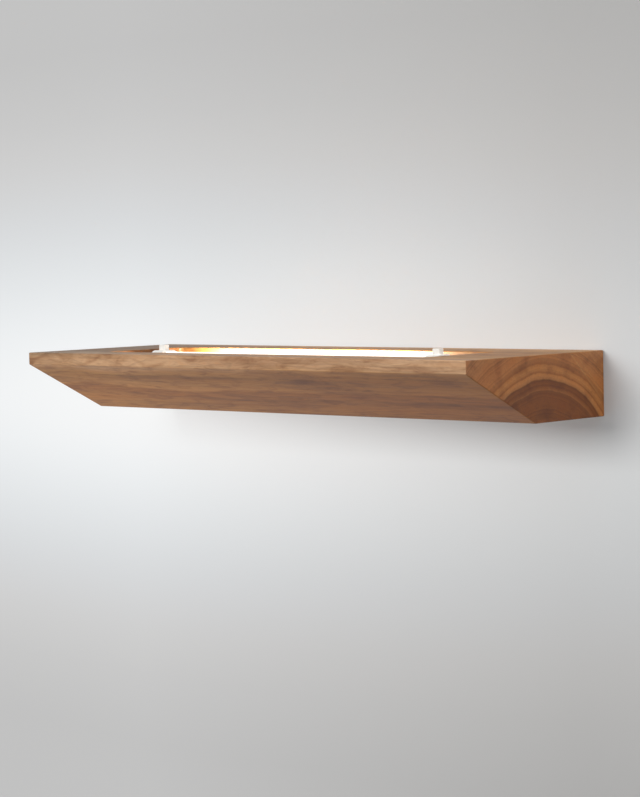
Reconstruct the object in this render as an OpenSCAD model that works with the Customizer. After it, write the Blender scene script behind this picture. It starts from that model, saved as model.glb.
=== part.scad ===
// Wall lamp with shelf: a solid timber beam with a light trough in its top.
// Frame: X runs along the wall, -Y points into the room and +Z is up.
// The wall is the plane Y = 0, and the origin lies midway between the two wall screw slots.

/* [Timber beam] */
// Length along the wall
beam_l = 450; // [430:5:700]
// Depth of the shelf, from the wall to the nose
beam_depth = 155; // [150:1:185]
// Full height at the wall
beam_h = 47.5; // [47:0.5:60]
// Height of the upright nose face
nose_h = 9.5; // [7:0.5:13]
// Depth of the flat underside, from the wall to the foot of the slope
foot_depth = 80; // [76:1:105]
// Chamfer broken on every arris
arris = 0.8; // [0.4:0.1:2]
// Height of the shelf top above the wall screws
top_rise = 25; // [24:0.5:27]

/* [Light trough] */
// Timber left between the trough and each end of the beam
trough_end_land = 61.5; // [50:0.5:66]
// Timber left between the trough and the wall
trough_back_land = 46; // [44:1:50]
// Width of the trough, from back to front
trough_w = 78; // [74:1:84]
// Depth of the trough below the shelf top
trough_depth = 15; // [14:0.5:16]
// Radius that the router bit leaves in the corners of the trough
trough_r = 4; // [2:0.5:8]

/* [Rear pocket] */
// Length of the pocket for the driver and the wall plate
pocket_l = 260; // [256:2:320]
// Height of the pocket
pocket_h = 28; // [27:0.5:31]
// Depth of the pocket, from the wall
pocket_depth = 38; // [37:0.5:40]
// Radius that the router bit leaves in the corners of the pocket
pocket_r = 5; // [2:0.5:8]

/* [Wire way] */
// Distance of the wire way from the middle of the beam
way_x = 122; // [121:0.5:124]
// Radius of the two bores that meet in the wire way
way_r = 4; // [3:0.25:4.5]
// Distance from the back of the trough to the upright bore
way_inset = 14; // [12:0.5:16]
// Distance of the cross bore below the wall screws
way_drop = 4; // [2:0.5:6]

/* [Reflector tray] */
// Thickness of the sheet steel
tray_t = 1; // [0.6:0.1:1.2]
// Height of the turned-up edge, outside
tray_edge_h = 6; // [4:0.5:9]
// Gap between the tray and the walls of the trough
tray_gap = 2; // [0.5:0.25:2.5]
// Distance of the tray screws from the edges of the tray
tray_screw_inset = 8; // [6.5:0.5:9]

/* [Light bar] */
// Room between the end of the bar and the end of the trough
bar_end_room = 23.5; // [23:0.5:30]
// Width of the aluminium channel
bar_w = 18; // [16:0.5:22]
// Height of the channel's side walls, with its floor
channel_h = 9; // [8:0.25:9.5]
// Thickness of the channel's side walls
channel_wall = 1.2; // [1:0.1:1.6]
// Thickness of the channel's floor, with its cooling ribs
channel_floor = 2.4; // [2:0.1:3]
// Number of cooling grooves under the channel
groove_count = 5; // [3:1:6]
// Width of a cooling groove
groove_w = 1.2; // [0.8:0.1:1.4]
// Depth of a cooling groove
groove_depth = 1.2; // [0.6:0.1:1.4]
// Rise of the opal cover's crown above the channel
cover_rise = 3.5; // [2.5:0.25:3.75]
// Thickness of the opal cover
cover_t = 1.2; // [0.8:0.1:1.5]
// Length of the cover's two snap legs
leg_h = 2.6; // [2:0.1:3.2]
// Size of the snap lips on the legs and in the channel
snap = 0.4; // [0.3:0.05:0.5]
// Width of the light-emitting board
board_w = 12; // [10:0.5:12.5]
// Thickness of the board
board_t = 1.6; // [1:0.1:1.8]
// Distance between neighbouring light chips
chip_pitch = 9; // [7:0.5:14]
// Size of a chip along the bar
chip_l = 3.5; // [2.8:0.1:5]
// Size of a chip across the bar
chip_w = 2.8; // [2:0.1:5]
// Height of a chip
chip_h = 0.7; // [0.5:0.1:1]

/* [End holders] */
// Length of bar end that sits in a holder's cup
cup_depth = 4; // [3:0.25:5]
// Room for the wires between the bar and the holder's outer wall
wire_room = 6; // [5:0.25:7]
// Wall thickness of a holder
cup_wall = 2; // [1.4:0.1:2.2]
// Length of the foot that is screwed down
holder_foot_l = 11; // [9.5:0.5:11.5]
// Thickness of the foot
holder_foot_t = 2.5; // [2.2:0.1:3.5]
// Size of the finger lug along the bar
lug_l = 7; // [5:0.5:9]
// Size of the finger lug across the bar
lug_w = 5; // [4:0.5:8]
// Height of the finger lug above the shelf top
lug_rise = 4; // [2:0.25:8]
// Distance between the two screws of a holder
holder_screw_gap = 13; // [11:0.5:14]

/* [Driver] */
// Length of the driver with both terminal covers
driver_l = 108; // [104:1:112]
// Distance of the driver's left end from the middle of the beam
driver_x = 0; // [-2:0.5:0]
// Depth of the driver, from the pocket's front wall
driver_depth = 22; // [18:0.5:23]
// Height of the driver
driver_h = 22; // [18:0.5:23]
// Length of a terminal cover
driver_cover_l = 14; // [12:0.5:20]
// Thickness of the mounting base and its ears
driver_base_t = 2; // [1.5:0.1:3]
// Length of an ear
ear_l = 8; // [7:0.25:8.5]
// Radius of the driver's long edges
driver_r = 2.5; // [1:0.25:4]

/* [Wall plate] */
// Length of the wall plate
plate_l = 212; // [212:1:240]
// Thickness of the steel
plate_t = 1.5; // [1.2:0.1:1.8]
// Distance between the two wall screw slots
screw_spacing = 160; // [150:1:165]
// Length of a wall screw slot
slot_l = 10; // [8:0.5:14]
// Width of a wall screw slot
slot_w = 5; // [4.5:0.1:6]
// Distance from the wall screws down to the plate's lower edge
plate_down = 9; // [8.5:0.1:9.2]
// Distance from the wall screws up to the ledge that carries the lamp
ledge_z = 8; // [7.6:0.1:8.2]
// Reach of the two hooks from the wall
hook_reach = 5; // [4.8:0.1:5.5]
// Height of a hook's lip above its ledge
lip_h = 4; // [3.5:0.1:4.2]
// Length of a hook
hook_l = 36; // [28:1:36]
// Distance of each hook from the middle
hook_x = 84; // [84:1:86]
// Distance of each lock tab from the middle
tab_x = 96; // [95:0.5:97]
// Width of a lock tab
tab_w = 16; // [12:1:18]
// Reach of a lock tab from the wall
tab_reach = 16; // [15:0.5:18]
// Distance of a lock screw from the wall
lock_y = 9; // [8:0.5:10]
// Corner radius of the plate
plate_r = 2; // [1:0.25:4]

/* [Hanger angles] */
// Length of a hanger angle
angle_l = 34; // [30:1:36]
// Thickness of a hanger angle
angle_t = 1.5; // [1:0.1:1.6]
// Depth of the flange that is screwed to the pocket's ceiling
angle_depth = 16; // [14.5:0.5:18]
// Distance between the two screws of an angle
angle_screw_gap = 20; // [16:1:22]
// Distance of an angle's screws from the wall
angle_screw_y = 11.5; // [11:0.25:12]

/* [Terminal block] */
// Distance of the block from the middle of the beam, to the left
block_x = 46; // [44:0.5:47]
// Distance between neighbouring poles
pole_pitch = 10; // [9.5:0.25:10.5]
// Radius of a pole's barrel
barrel_r = 3.6; // [3.4:0.05:3.7]
// Height of the block, along its wires
block_h = 16; // [15:0.5:17]
// Thickness of the block's base
block_base_t = 3; // [2:0.25:3.5]
// Distance from the plate to a pole's axis
pole_rise = 7; // [6:0.25:7.5]
// Height of the screw wells above a pole's axis
well_h = 6.5; // [5.5:0.25:7]
// Radius of a screw well, outside
well_r = 3; // [2.7:0.1:3.2]
// Radius of a brass clamp
clamp_r = 2.3; // [2:0.1:2.5]
// Radius of a clamp's wire bore
wire_bore_r = 1.3; // [1.15:0.05:1.5]
// Distance between the two screws of a pole
clamp_screw_gap = 8; // [7:0.25:9]

/* [Cable entry and earth] */
// Distance of the cable entry from the middle of the beam, to the left
entry_x = 15; // [13:0.5:16]
// Radius of the cable bore in the bush
entry_bore_r = 4.5; // [3.5:0.25:4.75]
// Radius of the hole in the plate
entry_hole_r = 6; // [5.5:0.25:6.25]
// Radius of the bush's flange
entry_flange_r = 7.5; // [7.2:0.1:8]
// Length of the bush, from the wall
entry_bush_l = 6; // [4:0.5:8]
// Thickness of the bush's flange
entry_flange_t = 1.5; // [1:0.1:2]
// Distance of the earth screw from the middle of the beam, to the right
earth_x = 8; // [6:0.5:12]
// Radius of the earth tag's ring
tag_r = 4; // [3.6:0.1:4.6]
// Thickness of the earth tag
tag_t = 0.8; // [0.6:0.1:1.2]
// Length of the tag's crimp
crimp_l = 3; // [2.5:0.1:3.5]

/* [Leads] */
// Radius of a mains or earth lead with its insulation
mains_r = 1.1; // [0.8:0.05:1.1]
// Radius of a low-voltage lead with its insulation
led_r = 0.85; // [0.7:0.05:0.9]
// Distance between the two low-voltage leads
lead_gap = 2.3; // [2.25:0.05:2.4]
// Length of straight lead that each bend needs
lead_bend = 3; // [2.5:0.1:3.5]

/* [Lead bush in the tray] */
// Radius of the hole in the tray
bush_hole_r = 4.5; // [4.2:0.1:5]
// Radius of the bush's two flanges
bush_flange_r = 6; // [5.5:0.1:6.5]
// Thickness of a flange
bush_flange_t = 1; // [0.8:0.1:1.4]
// Radius of the bush's bore
bush_bore_r = 2.6; // [2.4:0.1:3]

/* [Screws] */
// Shank radius of the small wood screws
wood_r = 1.5; // [1.2:0.1:1.6]
// Head radius of the small wood screws
wood_head_r = 2.9; // [2.6:0.1:3]
// Length of the small wood screws
wood_l = 8; // [6.5:0.5:8.5]
// Shank radius of the machine screws
lock_r = 2; // [1.8:0.05:2.1]
// Head radius of the machine screws
lock_head_r = 3.8; // [3.4:0.1:3.9]
// Length of the two lock screws
lock_l = 14; // [12:0.5:15]
// Timber left under the head of a lock screw
lock_seat = 4.5; // [4:0.25:5]
// Shank radius of the small machine screws
clamp_screw_r = 1.2; // [1:0.05:1.25]
// Head radius of the terminal block's fixing screw
fixing_head_r = 1.9; // [1.7:0.05:2]
// Depth of the clamp screws below the mouths of their wells
screw_sink = 1.5; // [1:0.1:2]
// Width of a cross recess
recess_w = 0.7; // [0.5:0.05:0.9]
// Depth of a recess
recess_d = 1.2; // [0.8:0.1:1.3]

/* [Clearances] */
// Radial gap round a screw in its hole
screw_gap = 0.05; // [0.03:0.01:0.1]
// Gap round a lock screw in the timber
lock_gap = 0.3; // [0.2:0.05:0.6]
// Gap between the bar and the holders' cups
cup_gap = 0.15; // [0.1:0.05:0.3]
// Gap between the snap legs and the channel
snap_gap = 0.15; // [0.1:0.05:0.2]
// Gap round a bush, a clamp or a lead in its hole
fit_gap = 0.1; // [0.05:0.05:0.2]

/* [Hidden] */
$fn = 48;
// Overrun of a cut past the face that it opens
over = 1;

top_z = top_rise;
bottom_z = top_z - beam_h;
trough_l = beam_l - 2 * trough_end_land;
trough_y = -trough_back_land - trough_w / 2;
trough_floor = top_z - trough_depth;
pocket_front = -pocket_depth;
pocket_ceiling = pocket_h / 2;
pocket_bottom = -pocket_h / 2;
way_y = -trough_back_land - way_inset;
head_h = 2;

tray_l = trough_l - 2 * tray_gap;
tray_w = trough_w - 2 * tray_gap;
tray_r = max(trough_r - tray_gap, tray_t + 0.5);
tray_top = trough_floor + tray_t;
tray_screw_x = tray_l / 2 - tray_screw_inset;
tray_screw_y = tray_w / 2 - tray_screw_inset;

bar_l = trough_l - 2 * bar_end_room;
channel_in = bar_w - 2 * channel_wall;
cover_r = (pow(bar_w / 2, 2) + pow(cover_rise, 2)) / (2 * cover_rise);
cover_mid = channel_h + cover_rise - cover_r;
snap_z = channel_h - leg_h;
board_z = tray_top + channel_floor;
board_top = board_z + board_t;
chip_count = floor((bar_l - 2 * cup_depth - chip_l) / chip_pitch) + 1;

holder_in = bar_l / 2 - cup_depth;
holder_out = bar_l / 2 + wire_room + cup_wall;
holder_w = bar_w + 2 * (cup_gap + cup_wall);
holder_h = channel_h + cover_rise + cup_gap + cup_wall / 2;
holder_screw_x = holder_out + holder_foot_l / 2;
lug_x = (holder_in + holder_out) / 2;
wire_x = bar_l / 2 + wire_room / 2;

ear_x = [driver_x - ear_l / 2, driver_x + driver_l + ear_l / 2];
ear_r = ear_l / 2 + 1;
driver_y = pocket_front + driver_base_t + (driver_depth - driver_base_t) / 2;
plug_z = 3.5;

lock_seat_z = pocket_bottom - lock_seat;
pole_x = [for (i = [-1:1]) -block_x + i * pole_pitch];
pole_y = -plate_t - pole_rise;
entry_z = -0.5;
angle_y = -hook_reach + plate_t;

beam_profile = [[0, bottom_z], [-foot_depth, bottom_z], [-beam_depth, top_z - nose_h],
    [-beam_depth, top_z], [0, top_z]];

// A point at distance d from a, towards b
function toward(a, b, d) = a + (b - a) / norm(b - a) * d;
// The outline with a short flat across each of its corners
function cut_corners(p, c) = [for (i = [0:len(p) - 1])
    each [toward(p[i], p[(i + len(p) - 1) % len(p)], c), toward(p[i], p[(i + 1) % len(p)], c)]];
function unit(v) = v / norm(v);
// The point at share t of a curve from b to c, with its ends parallel to a-c and b-d
function spline(a, b, c, d, t) = let (l = norm(c - b), s = 1 - t)
    s * s * ((1 + 2 * t) * b + t * l * unit(c - a)) + t * t * ((1 + 2 * s) * c - s * l * unit(d - b));
// A smooth curve through the points, with n steps between two of them
function smooth(p, n) = [for (i = [0:len(p) - 2]) for (k = [0:n - 1])
    spline(p[max(i - 1, 0)], p[i], p[i + 1], p[min(i + 2, len(p) - 1)], k / n), p[len(p) - 1]];

// An outline in Y and Z, drawn out along X and centred on X = 0
module along_x(length) {
    rotate([90, 0, 90]) linear_extrude(length, center = true) children();
}

// An outline in X and Z, drawn out into the room from the plane Y = y
module into_room(y, length) {
    translate([0, y, 0]) rotate([90, 0, 0]) linear_extrude(length) children();
}

module rounded_rect(w, h, r) {
    square([w - 2 * r, h], center = true);
    square([w, h - 2 * r], center = true);
    for (x = [-1, 1], y = [-1, 1])
        translate([x * (w / 2 - r), y * (h / 2 - r)]) circle(r);
}

module slot_outline(length, width) {
    square([length - width, width], center = true);
    for (x = [-1, 1])
        translate([x * (length - width) / 2, 0]) circle(width / 2);
}

// A cross recess in a head whose top is at z
module cross_recess(z, reach) {
    for (a = [0, 90])
        rotate([0, 0, a]) translate([0, 0, z]) cube([reach, recess_w, 2 * recess_d], center = true);
}

// A screw with a domed head above z = 0 and its shank below
module pan_screw(shank_r, head_r, length) {
    difference() {
        union() {
            translate([0, 0, -length]) cylinder(r = shank_r, h = length + head_h / 2);
            intersection() {
                cylinder(r = head_r, h = head_h);
                translate([0, 0, head_h - 2 * head_r]) sphere(2 * head_r);
            }
        }
        cross_recess(head_h, head_r);
    }
}

// A screw with a countersunk head whose top is at z = 0
module flat_screw(shank_r, head_r, length) {
    difference() {
        union() {
            translate([0, 0, -length]) cylinder(r = shank_r, h = length - head_r + shank_r);
            translate([0, 0, shank_r - head_r]) cylinder(r1 = shank_r, r2 = head_r, h = head_r - shank_r);
        }
        cross_recess(0, head_r);
    }
}

// The hole that a countersunk screw fills, through a sheet of thickness t
module flat_hole(shank_r, head_r, t) {
    translate([0, 0, -t - over]) cylinder(r = shank_r + screw_gap, h = t + 2 * over);
    translate([0, 0, shank_r - head_r])
        cylinder(r1 = shank_r + screw_gap, r2 = head_r + screw_gap, h = head_r - shank_r);
    cylinder(r = head_r + screw_gap, h = over);
}

// A round lead swept along a smooth curve through the route's points
module lead(route, r) {
    sides = 8;
    path = smooth(route, 4);
    last = len(path) - 1;
    skew = unit([1, 1, -1]);
    rings = [for (i = [0:last])
        let (t = unit(path[min(i + 1, last)] - path[max(i - 1, 0)]), u = unit(cross(t, skew)), v = cross(t, u))
        for (k = [0:sides - 1]) path[i] + r * (u * cos(360 * k / sides) + v * sin(360 * k / sides))];
    polyhedron(rings, concat(
        [[for (k = [sides - 1:-1:0]) k]],
        [for (i = [0:last - 1]) for (k = [0:sides - 1])
            let (a = i * sides + k, b = i * sides + (k + 1) % sides) [a, b, b + sides, a + sides]],
        [[for (k = [0:sides - 1]) last * sides + k]]));
}

module tray_screw_places() {
    for (x = [-1, 1], y = [-1, 1])
        translate([x * tray_screw_x, trough_y + y * tray_screw_y, tray_top]) children();
}

module holder_screw_places() {
    for (x = [-1, 1], y = [-1, 1])
        translate([x * holder_screw_x, trough_y + y * holder_screw_gap / 2, tray_top + holder_foot_t])
            children();
}

// Screws that point into the timber from the pocket's front wall
module driver_screw_places() {
    for (x = ear_x)
        translate([x, pocket_front + driver_base_t, 0]) rotate([-90, 0, 0]) children();
}

module hanger_screw_places() {
    for (side = [-1, 1], x = [-1, 1])
        translate([side * hook_x + x * angle_screw_gap / 2, -angle_screw_y, pocket_ceiling - angle_t])
            rotate([180, 0, 0]) children();
}

module lock_screw_places() {
    for (side = [-1, 1])
        translate([side * tab_x, -lock_y, lock_seat_z]) rotate([180, 0, 0]) children();
}

// Solid timber, sawn to a five-sided section and routed from the top and the back
module shelf_beam() {
    color("peru") difference() {
        hull() {
            along_x(beam_l) offset(delta = -arris) polygon(beam_profile);
            along_x(beam_l - 2 * arris) polygon(cut_corners(beam_profile, arris));
        }
        translate([0, trough_y, trough_floor])
            linear_extrude(trough_depth + over) rounded_rect(trough_l, trough_w, trough_r);
        into_room(over, pocket_depth + over) rounded_rect(pocket_l, pocket_h, pocket_r);
        translate([way_x, way_y, -way_drop]) cylinder(r = way_r, h = trough_floor + way_drop + over);
        translate([way_x, pocket_front + over, -way_drop]) rotate([90, 0, 0])
            cylinder(r = way_r, h = pocket_front + over - way_y + way_r);
        translate([way_x, way_y, trough_floor - bush_flange_t - fit_gap])
            cylinder(r = bush_flange_r + fit_gap, h = bush_flange_t + fit_gap + over);
        tray_screw_places() translate([0, 0, -wood_l - fit_gap])
            cylinder(r = wood_r + screw_gap, h = wood_l);
        holder_screw_places() translate([0, 0, -wood_l - holder_foot_t - fit_gap])
            cylinder(r = wood_r + screw_gap, h = wood_l + holder_foot_t);
        driver_screw_places() translate([0, 0, -wood_l - fit_gap])
            cylinder(r = wood_r + screw_gap, h = wood_l);
        hanger_screw_places() translate([0, 0, -wood_l - fit_gap])
            cylinder(r = wood_r + screw_gap, h = wood_l);
        lock_screw_places() {
            translate([0, 0, -lock_seat - over]) cylinder(r = lock_r + lock_gap, h = lock_seat + 2 * over);
            cylinder(r = lock_head_r + lock_gap, h = lock_seat_z - bottom_z + over);
        }
    }
}

// White sheet-steel tray with a turned-up edge, on the floor of the trough
module reflector_tray() {
    color("white") difference() {
        translate([0, trough_y, trough_floor]) difference() {
            linear_extrude(tray_edge_h) rounded_rect(tray_l, tray_w, tray_r);
            translate([0, 0, tray_t]) linear_extrude(tray_edge_h)
                rounded_rect(tray_l - 2 * tray_t, tray_w - 2 * tray_t, tray_r - tray_t);
        }
        tray_screw_places() translate([0, 0, -tray_t - over])
            cylinder(r = wood_r + screw_gap, h = tray_t + 2 * over);
        holder_screw_places() translate([0, 0, -holder_foot_t - tray_t - over])
            cylinder(r = wood_r + screw_gap, h = tray_t + 2 * over);
        translate([way_x, way_y, trough_floor - over]) cylinder(r = bush_hole_r, h = tray_t + 2 * over);
    }
}

module tray_screws() {
    color("silver") tray_screw_places() pan_screw(wood_r, wood_head_r, wood_l);
}

// Outline of the bar, in Y and Z from the middle of its foot, grown by g to the sides and top
module bar_outline(g) {
    intersection() {
        translate([-bar_w / 2 - g, 0]) square([bar_w + 2 * g, channel_h + cover_rise + g]);
        union() {
            translate([-bar_w / 2 - g, 0]) square([bar_w + 2 * g, channel_h]);
            translate([0, cover_mid]) circle(cover_r + g, $fn = 96);
        }
    }
}

// Extruded aluminium channel, with cooling grooves below and a snap lip in each wall
module bar_channel() {
    color("lightgray") translate([0, trough_y, tray_top]) along_x(bar_l) {
        difference() {
            translate([-bar_w / 2, 0]) square([bar_w, channel_h]);
            translate([-channel_in / 2, channel_floor]) square([channel_in, channel_h]);
            for (i = [0:groove_count - 1])
                translate([(i - (groove_count - 1) / 2) * bar_w / (groove_count + 1) - groove_w / 2, -over])
                    square([groove_w, groove_depth + over]);
        }
        for (side = [-1, 1])
            translate([side * channel_in / 2, snap_z]) rotate(45)
                square(snap * sqrt(2), center = true);
    }
}

// Printed board that lies on the channel's floor
module light_board() {
    color("ivory") translate([0, trough_y, board_z + board_t / 2])
        cube([bar_l - 2 * fit_gap, board_w, board_t], center = true);
}

module light_chips() {
    color("gold") for (i = [0:chip_count - 1])
        translate([(i - (chip_count - 1) / 2) * chip_pitch, trough_y, board_top + chip_h / 2])
            cube([chip_l, chip_w, chip_h], center = true);
}

// Extruded opal cover: a domed crown on two legs that snap under the channel's lips
module opal_cover() {
    leg_out = channel_in / 2 - snap_gap - snap;
    color("seashell") translate([0, trough_y, tray_top]) along_x(bar_l) {
        difference() {
            intersection() {
                translate([0, cover_mid]) circle(cover_r, $fn = 96);
                translate([-bar_w / 2, channel_h]) square([bar_w, cover_rise + over]);
            }
            intersection() {
                translate([0, cover_mid]) circle(cover_r - cover_t, $fn = 96);
                translate([-leg_out + cover_t, channel_h - over]) square([2 * (leg_out - cover_t), cover_rise + over]);
            }
        }
        for (side = [-1, 1]) {
            translate([side * (leg_out - cover_t / 2), channel_h - leg_h / 2])
                square([cover_t, leg_h], center = true);
            translate([side * (leg_out - cover_t / 2), channel_h - leg_h])
                circle(cover_t / 2 + snap / 2, $fn = 24);
        }
    }
}

// Moulded holder for the right end: a cup for the bar, a screwed foot and a finger lug
module end_holder(wired) {
    difference() {
        union() {
            translate([(holder_in + holder_out) / 2, trough_y, tray_top])
                along_x(holder_out - holder_in) intersection() {
                    bar_outline(cup_gap + cup_wall);
                    translate([-holder_w / 2, 0]) square([holder_w, holder_h]);
                }
            translate([holder_out - over, trough_y - holder_w / 2, tray_top])
                cube([holder_foot_l + over, holder_w, holder_foot_t]);
            translate([lug_x, trough_y, 0]) {
                translate([0, 0, tray_top + holder_h - over])
                    linear_extrude(top_z + lug_rise - tray_top - holder_h + over) intersection() {
                        square([lug_l, lug_w], center = true);
                        circle(0.45 * (lug_l + lug_w) - 0.5);
                    }
            }
        }
        translate([0, trough_y, tray_top]) along_x(bar_l + 2 * cup_gap) {
            bar_outline(cup_gap);
            translate([-bar_w / 2 - cup_gap, -over]) square([bar_w + 2 * cup_gap, 2 * over]);
        }
        translate([0, trough_y, tray_top]) along_x(2 * (bar_l / 2 + wire_room)) difference() {
            bar_outline(0);
            translate([-bar_w, -over]) square([2 * bar_w, channel_floor]);
        }
        for (y = [-1, 1])
            translate([holder_screw_x, trough_y + y * holder_screw_gap / 2, tray_top + holder_foot_t])
                flat_hole(wood_r, wood_head_r, holder_foot_t);
        if (wired) translate([wire_x, trough_y, board_top + led_r + fit_gap]) rotate([-90, 0, 0])
            linear_extrude(holder_w) slot_outline(lead_gap + 2 * (led_r + fit_gap), 2 * (led_r + fit_gap));
    }
}

module end_holder_left() {
    color("whitesmoke") mirror([1, 0, 0]) end_holder(false);
}

module end_holder_right() {
    color("whitesmoke") end_holder(true);
}

module holder_screws() {
    color("silver") holder_screw_places() flat_screw(wood_r, wood_head_r, wood_l + holder_foot_t);
}

// Rubber bush that guards the two leads where they come up through the tray
module tray_bush() {
    color("dimgray") translate([way_x, way_y, trough_floor]) difference() {
        union() {
            translate([0, 0, -bush_flange_t]) cylinder(r = bush_flange_r, h = bush_flange_t);
            cylinder(r = bush_hole_r - fit_gap, h = tray_t);
            translate([0, 0, tray_t]) cylinder(r = bush_flange_r, h = bush_flange_t);
        }
        translate([0, 0, -bush_flange_t - over])
            cylinder(r = bush_bore_r, h = tray_t + 2 * (bush_flange_t + over));
    }
}

// Route of a low-voltage lead: driver, wire way, tray, holder and board.
// The pair lies side by side all the way, so each point is set off square to the run.
function led_route(side) =
    let (dx = side * lead_gap / 2, end_x = driver_x + driver_l, wire_z = board_top + led_r + fit_gap,
        rear_y = trough_y + holder_w / 2, solder_y = trough_y + board_w / 3 - side * (led_r + lead_gap / 2),
        run = unit([wire_x - way_x, rear_y + lead_bend - way_y]), off = dx * [-run[1], run[0]],
        turn = 1.2 * abs(dx) * unit(off + [dx, 0]))
    [[end_x, driver_y, side * plug_z],
        [end_x + lead_bend, driver_y, side * plug_z],
        [way_x - lead_bend + dx, driver_y - lead_bend, side * plug_z / 2],
        [way_x + dx, pocket_front, -way_drop],
        [way_x + dx, pocket_front - 2 * lead_bend, -way_drop],
        [way_x + dx, way_y + lead_bend, -way_drop],
        [way_x + dx, way_y, lead_bend - way_drop],
        [way_x + dx, way_y, trough_floor - lead_bend],
        [way_x + dx, way_y, tray_top + 2 * bush_flange_t],
        [way_x + lead_bend * run[0] + turn[0], way_y + lead_bend * run[1] + turn[1], wire_z + lead_bend / 2],
        [(way_x + wire_x) / 2 + off[0], (way_y + rear_y + lead_bend) / 2 + off[1], wire_z],
        [wire_x + turn[0], rear_y + lead_bend + turn[1], wire_z],
        [wire_x + dx, rear_y, wire_z],
        [wire_x + dx, rear_y - lead_bend, wire_z],
        [bar_l / 2, solder_y, board_top + led_r + fit_gap / 2],
        [bar_l / 2 - lead_bend, solder_y, board_top + led_r + fit_gap / 2]];

module led_lead_positive() {
    color("firebrick") lead(led_route(1), led_r);
}

module led_lead_negative() {
    color("black") lead(led_route(-1), led_r);
}

// Outline of the driver, in Y and Z, with two rounded edges towards the wall
module driver_outline(shrink) {
    w = driver_depth - shrink;
    h = driver_h - 2 * shrink;
    translate([pocket_front + w / 2, 0]) union() {
        rounded_rect(w, h, driver_r);
        translate([-w / 2, -h / 2]) square([w / 2, h]);
    }
}

// Potted driver: a closed case on a base with two screw ears
module driver_case() {
    case_l = driver_l - 2 * driver_cover_l;
    color("white") difference() {
        union() {
            translate([driver_x + driver_l / 2, 0, 0]) along_x(case_l) driver_outline(0);
            into_room(pocket_front + driver_base_t, driver_base_t) {
                translate([driver_x + driver_l / 2, 0]) square([driver_l, driver_h - 2], center = true);
                for (x = ear_x)
                    translate([x, 0]) circle(ear_r);
                translate([driver_x + driver_l / 2, 0])
                    square([driver_l + ear_l, 2 * ear_r], center = true);
            }
        }
        driver_screw_places() translate([0, 0, -driver_base_t - over])
            cylinder(r = wood_r + screw_gap, h = driver_base_t + 2 * over);
    }
}

// Snap-on cover over one end's terminals, with two lead holes of radius r
module driver_cover(x, out_x, r) {
    difference() {
        translate([x, 0, 0]) along_x(driver_cover_l) intersection() {
            driver_outline(0.5);
            translate([pocket_front + driver_base_t, -driver_h]) square([driver_depth, 2 * driver_h]);
        }
        for (z = [-1, 1])
            translate([out_x, driver_y, z * plug_z]) rotate([0, 90, 0]) cylinder(r = r + fit_gap, h = 6, center = true);
    }
}

module driver_cover_mains() {
    color("gainsboro") driver_cover(driver_x + driver_cover_l / 2, driver_x, mains_r);
}

module driver_cover_low_voltage() {
    color("gainsboro")
        driver_cover(driver_x + driver_l - driver_cover_l / 2, driver_x + driver_l, led_r);
}

module driver_screws() {
    color("silver") driver_screw_places() pan_screw(wood_r, wood_head_r, wood_l);
}

module fixing_hole_place() {
    translate([pole_x[0] + pole_pitch / 2, -plate_t - block_base_t, 0]) rotate([90, 0, 0]) children();
}

module clamp_screw_places() {
    for (x = pole_x, z = [-1, 1])
        translate([x, pole_y, z * clamp_screw_gap / 2]) rotate([90, 0, 0]) children();
}

// Three-pole block: a base strip, a barrel for each pole and two screw wells on each barrel
module terminal_block() {
    color("white") difference() {
        union() {
            into_room(-plate_t, block_base_t) translate([-block_x, 0])
                square([2 * (pole_pitch + barrel_r), block_h - 2], center = true);
            for (x = pole_x) translate([x, pole_y, 0]) {
                cylinder(r = barrel_r, h = block_h, center = true);
                translate([-barrel_r, 0, -block_h / 2]) cube([2 * barrel_r, pole_rise, block_h]);
            }
            clamp_screw_places() cylinder(r = well_r, h = well_h);
        }
        for (x = pole_x) translate([x, pole_y, 0])
            cylinder(r = clamp_r + fit_gap, h = block_h + over, center = true);
        clamp_screw_places() cylinder(r = clamp_screw_r + 0.8, h = well_h + over);
        fixing_hole_place() translate([0, 0, -block_base_t - over])
            cylinder(r = clamp_screw_r + screw_gap, h = block_base_t + 2 * over);
    }
}

module terminal_clamps() {
    color("goldenrod") difference() {
        for (x = pole_x) translate([x, pole_y, 0]) cylinder(r = clamp_r, h = block_h - 1, center = true);
        for (x = pole_x) translate([x, pole_y, 0]) cylinder(r = wire_bore_r, h = block_h, center = true);
        clamp_screw_places() cylinder(r = clamp_screw_r + screw_gap, h = clamp_r + over);
    }
}

module terminal_screws() {
    color("silver") clamp_screw_places() translate([0, 0, wire_bore_r]) difference() {
        cylinder(r = clamp_screw_r, h = well_h - wire_bore_r - screw_sink);
        translate([0, 0, well_h - wire_bore_r - screw_sink])
            cube([3 * clamp_screw_r, recess_w, recess_d], center = true);
    }
}

module terminal_fixing_screw() {
    color("silver") fixing_hole_place() pan_screw(clamp_screw_r, fixing_head_r, block_base_t + plate_t);
}

// Route of a mains lead, from a pole of the block to the driver's mains cover
function mains_route(x, z) =
    [[x, pole_y, block_h / 2 - lead_bend],
        [x, pole_y, block_h / 2 + lead_bend / 2],
        [x + lead_bend, pole_y - lead_bend, block_h / 2 + lead_bend],
        [x + pole_pitch, pole_y - pole_pitch, block_h / 2 + lead_bend],
        [driver_x - entry_x - lead_bend, driver_y - z / 2, z + lead_bend],
        [driver_x - 2 * lead_bend, driver_y, z],
        [driver_x + lead_bend - over, driver_y, z]];

module mains_lead_live() {
    color("saddlebrown") lead(mains_route(pole_x[0], plug_z), mains_r);
}

module mains_lead_neutral() {
    color("royalblue") lead(mains_route(pole_x[1], -plug_z), mains_r);
}

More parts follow.
